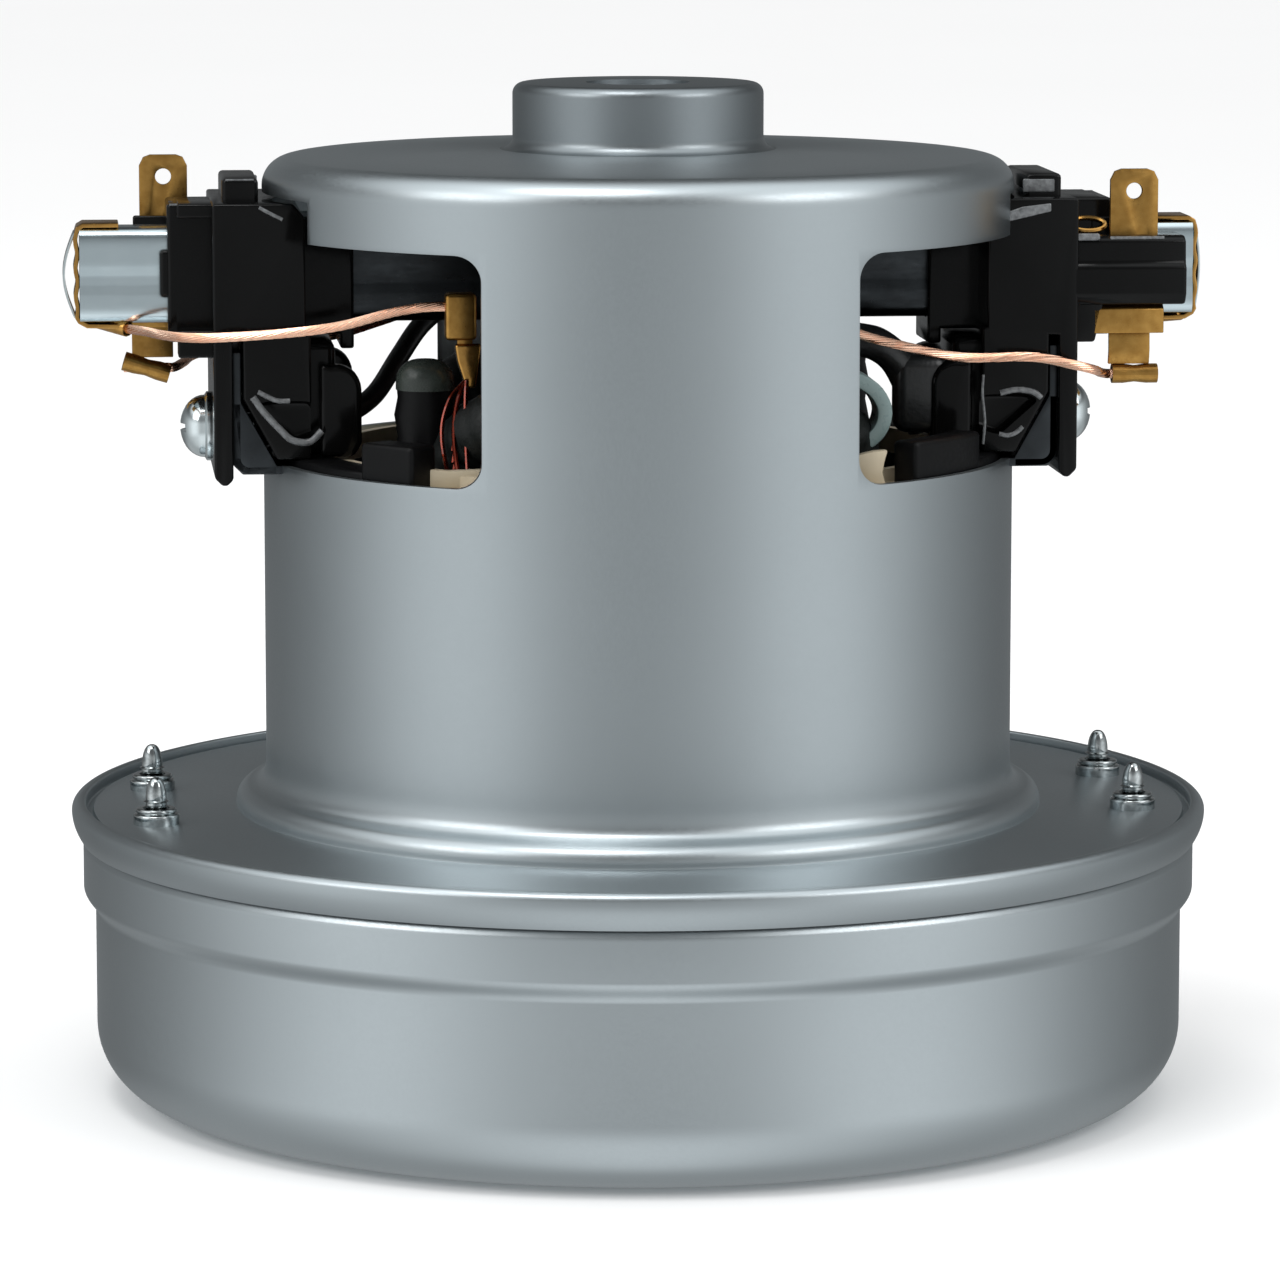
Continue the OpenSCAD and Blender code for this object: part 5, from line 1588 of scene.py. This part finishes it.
    def coil_ends(self) -> None:
        """Bound coil ends: a black column with an oiled tape cap, left in front and right behind."""
        x, y = self.column
        low = [(0, 75.6), (3.4, 75.6), (3.7, 78), (3.2, 80.5), (3.6, 83), (3.2, 85.0), (3.3, 86.2), (0, 86.2)]
        cap = [(0, 85.9), (3.4, 85.9), *arc(0.8, 86.8, 2.6, 0, 90, 10), (0, 89.4)]
        for name, outline, finish in (
            ("bound_coil_ends", low, BLACK_NYLON),
            ("coil_end_caps", cap, GREEN_TAPE),
        ):
            piece = lathe("coil_end", outline, 40)
            piece.data.transform(Matrix.Translation(metres((x, y, 0))))
            pair = join(name, copy_at(piece, [side.turn for side in Side]))
            dress(pair, finish)

    def bobbin_rims(self) -> None:
        """Cream rims of the end frame under the wires, one hollowed like a dish and one narrow."""
        dish = [
            (30.0, 75.6), (29.3, 80.0), (28.7, 79.4), (28.3, 78.7), (27.6, 78.1), (26.4, 77.8), (24.6, 77.6),
            (20.0, 77.7), (20.0, 75.6),
        ]  # fmt: skip
        post = [
            (22.0, 75.6), (22.0, 79.0), (24.2, 79.5), (25.8, 79.6), (25.4, 78.2), (25.2, 77.0), (25.6, 75.6),
        ]  # fmt: skip
        parts = [
            round_edges(side_slab("bobbin_rim", outline, y, y + 1.6), 0.25)
            for outline, y in ((dish, 28.0), (post, -31.0))
        ]
        piece = join("bobbin_rims", copy_at(join("bobbin_rim", parts), [side.turn for side in Side]))
        dress(piece, CREAM)

    def saddles(self) -> None:
        """Black insulators on the laminations: low under the holders, tall beside them in front."""
        parts, steps, edge_r = [], 12, 43.2
        foot = self.stack_top + 0.1
        # First and last angle, inner radius, top, and the sides that have it
        for a0, a1, r0, top, sides in (
            (-48, -28, 39.6, 80.6, [Side.RIGHT]),
            (37, 48, 38.6, 80.6, [Side.LEFT]),
            (-29, 38, 37.6, 77.2, list(Side)),
        ):
            angles = [math.radians(a0 + (a1 - a0) * i / steps) for i in range(steps + 1)]
            outline = [*[(r0, a, foot) for a in angles], *[(edge_r, a, foot) for a in reversed(angles)]]
            saddle = round_edges(slab("saddle", around(outline), (0, 0, top - foot)), 0.6, 3, 50)
            parts += copy_at(saddle, [side.turn for side in sides])
        dress(join("insulator_saddles", parts), BLACK_NYLON)

    def build(self) -> None:
        """Builds and dresses the field's visible parts."""
        for name, node, side in (
            ("front_coil_taped", "front_field_coil", Side.RIGHT),
            ("back_coil_taped", "back_field_coil", Side.LEFT),
        ):
            self.coil(name, node, side.turn)
        self.terminal_blocks()
        self.sleeves()
        self.loose_wires()
        self.liners()
        self.coil_ends()
        self.bobbin_rims()
        self.saddles()


@dataclass
class Armature:
    """End windings of the armature, laid as crossing wires over the core."""

    # Outer radius of the windings, top of the core's insulation, and slots with how many a coil spans
    outer_r: float = 18.6
    end_z: float = 74.4
    slots: int = 22
    spanned: int = 8
    layers: int = 3

    def turn(self, start: float, layer: int) -> bpy.types.Object:
        """One wire that runs over the core's end from slot to slot.

        Args:
            start: Angle of its first slot in radians.
            layer: 0 for the outermost layer, and more further in.

        Returns:
            The wire.
        """
        span, r, z = math.tau * self.spanned / self.slots, self.outer_r - 1.1 - 0.7 * layer, self.end_z
        route = [
            (r, start, z - 0.8),
            (r + 0.5, start + 0.04, z + 2.6 + 0.7 * layer),
            (r - 1.2, start + span * 0.25, z + 6.4 + 0.6 * layer),
            (r - 2.4, start + span * 0.5, z + 7.6 + 0.6 * layer),
            (r - 1.2, start + span * 0.75, z + 6.2 + 0.5 * layer),
            (r + 0.4, start + span - 0.04, z + 2.4 + 0.6 * layer),
            (r, start + span, z - 0.8),
        ]
        return wire("turn", smooth(around(route), 4), 0.33, 6)

    def windings(self) -> None:
        """Upper and lower end windings: filled cores, crossing turns and the risers to the bars."""
        low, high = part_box("armature_winding")
        upper = [
            (6.2, 74.0), (16.4, 74.0), (17.0, 77), (15.8, 81.4),
            (12.4, 85.4), (11.2, 87.2), (8.2, 87.2), (6.2, 85.8),
        ]  # fmt: skip
        under = [(6.2, 46), (6.2, 40), (8, 39), (14.6, 39), (16.8, 41.4), (17.2, 43.8), (16.4, 46)]
        parts = [lathe("winding_core", upper, 64), lathe("winding_under", under, 64)]
        for k in range(self.slots):
            start, z = math.tau * k / self.slots, self.end_z
            parts += [self.turn(start, layer) for layer in range(self.layers)]
            riser = [
                (self.outer_r - 2.4, start, z + 5),
                (13.6, start + 0.1, z + 9.4),
                (12.6, start + 0.14, z + 12),
                (12.2, start + 0.14, high.z / MM - 0.1),
            ]
            parts.append(wire("riser", smooth(around(riser), 4), 0.3, 6))
        piece = join("armature_windings", parts)
        # The wires keep within the height of the node that they are shown for
        for vertex in piece.data.vertices:
            vertex.co.z = min(max(vertex.co.z, low.z), high.z)
        dress(piece, MAGNET_WIRE, Body.ROTOR, ["armature_winding"], crease=60)

    def build(self) -> None:
        """Builds and dresses the armature's windings."""
        self.windings()


@dataclass
class KeptNodes:
    """Finishes of the nodes whose shape is shown as it is."""

    finishes: dict[Finish, tuple[str, ...]] = field(
        default_factory=lambda: {
            DIFFUSER_PLASTIC: ("diffuser",),
            PRESSED_STEEL: ("bearing_plate", "bearing_retainer", "preload_washer"),
            RUBBER: ("upper_bearing_cushion",),
            GROUND_STEEL: (
                "upper_outer_race", "upper_inner_race", "lower_outer_race", "lower_inner_race",
                "upper_balls", "lower_balls", "shaft", "fan_spacer",
            ),
            CAGE_BRASS: ("upper_cage", "lower_cage"),
            LAMINATION: ("stator_core", "armature_core"),
            CREAM: ("end_insulators",),
            COMMUTATOR: ("commutator_bars",),
            BROWN_PHENOLIC: ("commutator_hub",),
            FAN_ALUMINIUM: ("fan_back_disc", "fan_front_disc", "fan_blades"),
            BRIGHT_ZINC: ("fan_washer", "fan_nut"),
            CARBON: ("left_carbon_brush", "right_carbon_brush"),
        }
    )  # fmt: skip

    def build(self, nodes: dict[str, bpy.types.Object]) -> None:
        """Gives each kept node its finish.

        Args:
            nodes: The part's node objects by name.
        """
        for finish, names in self.finishes.items():
            for name in names:
                data = nodes[name].data
                data.materials.clear()
                data.materials.append(finish.material())
                LOG.info("%s kept as %s", name, finish.name)


@dataclass(frozen=True)
class SoftBox:
    """Rectangular soft light: where it stands, its width and height in metres, and its power."""

    azimuth: float
    elevation: float
    distance: float
    width: float
    height: float
    power: float


@dataclass
class Studio:
    """Pale floor, soft lights and the camera at the photograph's angle.

    Lengths here are metres. Azimuths are degrees from -Y towards +X, as seen from the object.
    """

    camera_azimuth: float = -5.5
    camera_distance: float = 0.7343
    camera_height: float = 0.1589
    camera_pitch: float = 8.161
    camera_aside: float = -0.0185
    focal_px: float = 6200.0
    frame_px: float = 1280.0
    sensor: float = 36.0
    sight: float = 50.0
    # Height on the object that the lights face
    middle_z: float = 0.06
    floor_size: float = 16.0
    # The floor lies this far below the object's base
    floor_gap: float = 0.0002
    soft_boxes: tuple[SoftBox, ...] = (
        SoftBox(-62.0, 34.0, 1.3, 0.7, 0.5, 3.0),
        SoftBox(51.0, 34.0, 1.3, 0.7, 0.5, 3.0),
        SoftBox(-30.0, 66.0, 1.3, 0.5, 0.4, 4.0),
    )
    # Brightness all round at eye level: share of the half turn from the camera, and strength
    round_view: tuple[tuple[float, float], ...] = (
        (0.0, 0.5), (0.12, 0.62), (0.31, 1.12), (0.45, 0.83),
        (0.6, 0.42), (0.8, 0.2), (0.93, 0.2), (1.0, 0.1),
    )  # fmt: skip
    # The strength at the top of the curve that holds them
    curve_top: float = 2.0
    # Heights between which eye level gives way upwards, and the share that is left there
    fade_z: tuple[float, float] = (0.15, 0.45)
    fade_share: float = 0.4
    # Canopy overhead, mirrored left and right: strength, direction and where its edge is
    overhead: float = 1.6
    canopy: Point = (0.45, -0.05, 0.89)
    canopy_edge: float = 0.74
    # Table top: strength in front, share of it behind, and the heights between which it begins
    table: float = 1.05
    table_behind: float = 0.45
    table_turn: tuple[float, float] = (0.1, 0.6)
    table_z: tuple[float, float] = (-0.28, -0.6)

    def spot(self, box: SoftBox) -> Vector:
        """Place of a soft light.

        Args:
            box: The light.

        Returns:
            Its middle.
        """
        a, e = math.radians(box.azimuth), math.radians(box.elevation)
        back = Vector((math.sin(a) * math.cos(e), -math.cos(a) * math.cos(e), math.sin(e)))
        return back * box.distance + Vector((0, 0, self.middle_z))

    def camera(self) -> None:
        """Camera that matches the photograph's view."""
        a = math.radians(self.camera_azimuth)
        where = Vector((math.sin(a), -math.cos(a), 0)) * self.camera_distance
        where.z = self.camera_height
        bpy.ops.object.camera_add(location=where)
        camera = bpy.context.object
        heading = Matrix.Rotation(a + math.radians(self.camera_aside), 4, "Z")
        tilt = Matrix.Rotation(math.radians(90 - self.camera_pitch), 4, "X")
        camera.matrix_world = Matrix.Translation(where) @ heading @ tilt
        camera.data.sensor_width = self.sensor
        camera.data.lens = self.sensor * self.focal_px / self.frame_px
        camera.data.clip_end = self.sight
        bpy.context.scene.camera = camera

    def floor(self) -> None:
        """Plain pale floor; gloss on the object doesn't mirror it."""
        bpy.ops.object.select_all(action="DESELECT")
        bpy.ops.mesh.primitive_plane_add(size=self.floor_size, location=(0, 0, -self.floor_gap))
        floor = bpy.context.object
        floor.name = "studio_floor"
        floor.data.materials.append(PAPER.material())
        floor.visible_glossy = False

    def lights(self) -> None:
        """Soft boxes round the object and the tent that surrounds them."""
        for box in self.soft_boxes:
            where = self.spot(box)
            bpy.ops.object.light_add(type="AREA", location=where)
            light = bpy.context.object
            light.rotation_euler = (where - Vector((0, 0, self.middle_z))).to_track_quat("Z", "Y").to_euler()
            light.data.shape = "RECTANGLE"
            light.data.size = box.width
            light.data.size_y = box.height
            light.data.energy = box.power
        self.surroundings()
        bpy.context.scene.view_settings.view_transform = "Standard"

    def surroundings(self) -> None:
        """World: the tent for what the object mirrors, plain white for the view and soft light."""
        world = bpy.data.worlds.new("studio")
        bpy.context.scene.world = world
        world.use_nodes = True
        tree = world.node_tree
        tree.nodes.clear()
        ray = add_node(tree, "ShaderNodeTexCoord").outputs["Generated"]
        facing = add_node(
            tree, "ShaderNodeVectorRotate", {"rotation_type": "Z_AXIS"},
            Vector=ray, Angle=-math.radians(self.camera_azimuth),
        ).outputs["Vector"]  # fmt: skip
        strength = self.tent_strength(tree, facing)
        tent = add_node(tree, "ShaderNodeBackground", Color=linear("f6fafc"), Strength=strength)
        pale = add_node(tree, "ShaderNodeBackground", Color=linear("ffffff"), Strength=1.0)
        rays = add_node(tree, "ShaderNodeLightPath").outputs
        plain = reckon(tree, "MAXIMUM", rays["Is Camera Ray"], rays["Is Diffuse Ray"])
        shades = (plain, tent.outputs["Background"], pale.outputs["Background"])
        mix = add_node(tree, "ShaderNodeMixShader", values=shades)
        add_node(tree, "ShaderNodeOutputWorld", Surface=mix.outputs["Shader"])

    def tent_strength(
        self, tree: bpy.types.NodeTree, facing: bpy.types.NodeSocket
    ) -> bpy.types.NodeSocket:
        """Tented studio: bright to the left and right of the camera, overhead and on the table.

        Args:
            tree: The world's node tree.
            facing: The ray's direction, with the camera towards -Y.

        Returns:
            The strength in that direction, as an output socket.
        """
        parts = add_node(tree, "ShaderNodeSeparateXYZ", Vector=facing).outputs
        back = reckon(tree, "MULTIPLY", parts["Y"], -1)
        turn = reckon(tree, "ABSOLUTE", reckon(tree, "ARCTAN2", parts["X"], back))
        half = remap(tree, turn, 0, math.pi)
        fade = remap(tree, parts["Z"], *self.fade_z, 1, self.fade_share, "SMOOTHSTEP")
        level = reckon(tree, "MULTIPLY", self.round_strength(tree, half), fade)
        mirrored = reckon_vector(tree, "MULTIPLY", facing, (-1, 1, 1))
        folded = reckon_vector(tree, "MAXIMUM", facing, mirrored)
        towards = reckon_vector(tree, "DOT_PRODUCT", folded, self.canopy)
        rise = remap(tree, towards, self.canopy_edge, 1, kind="SMOOTHSTEP")
        table = remap(tree, half, *self.table_turn, self.table, self.table_behind * self.table)
        drop = remap(tree, parts["Z"], *self.table_z, kind="SMOOTHSTEP")
        above = add_node(tree, "ShaderNodeMix", Factor=rise, A=level, B=self.overhead).outputs["Result"]
        return add_node(tree, "ShaderNodeMix", Factor=drop, A=above, B=table).outputs["Result"]

    def round_strength(
        self, tree: bpy.types.NodeTree, half: bpy.types.NodeSocket
    ) -> bpy.types.NodeSocket:
        """Strength of the tent at eye level, all round.

        Args:
            tree: The world's node tree.
            half: Share of the half turn away from the camera, as an output socket.

        Returns:
            The strength, as an output socket.
        """
        level = add_node(tree, "ShaderNodeFloatCurve", Value=half)
        curve = level.mapping.curves[0]
        for point, (where, strength) in zip(curve.points, (self.round_view[0], self.round_view[-1])):
            point.location = (where, strength / self.curve_top)
        for where, strength in self.round_view[1:-1]:
            curve.points.new(where, strength / self.curve_top)
        level.mapping.update()
        return remap(tree, level.outputs["Value"], 0, 1, high=self.curve_top)

    def build(self) -> None:
        """Sets up the camera, the floor and the lights."""
        self.camera()
        self.floor()
        self.lights()


def main() -> None:
    """Builds the studio and every sub-assembly around the loaded frame."""
    logging.basicConfig(level=logging.INFO, format="%(message)s")
    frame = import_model()
    Studio().build()
    Casing().build()
    for side in Side:
        BrushGear(side).build()
    Field().build()
    Armature().build()
    KeptNodes().build(frame["nodes"])


if __name__ == "__main__":
    main()
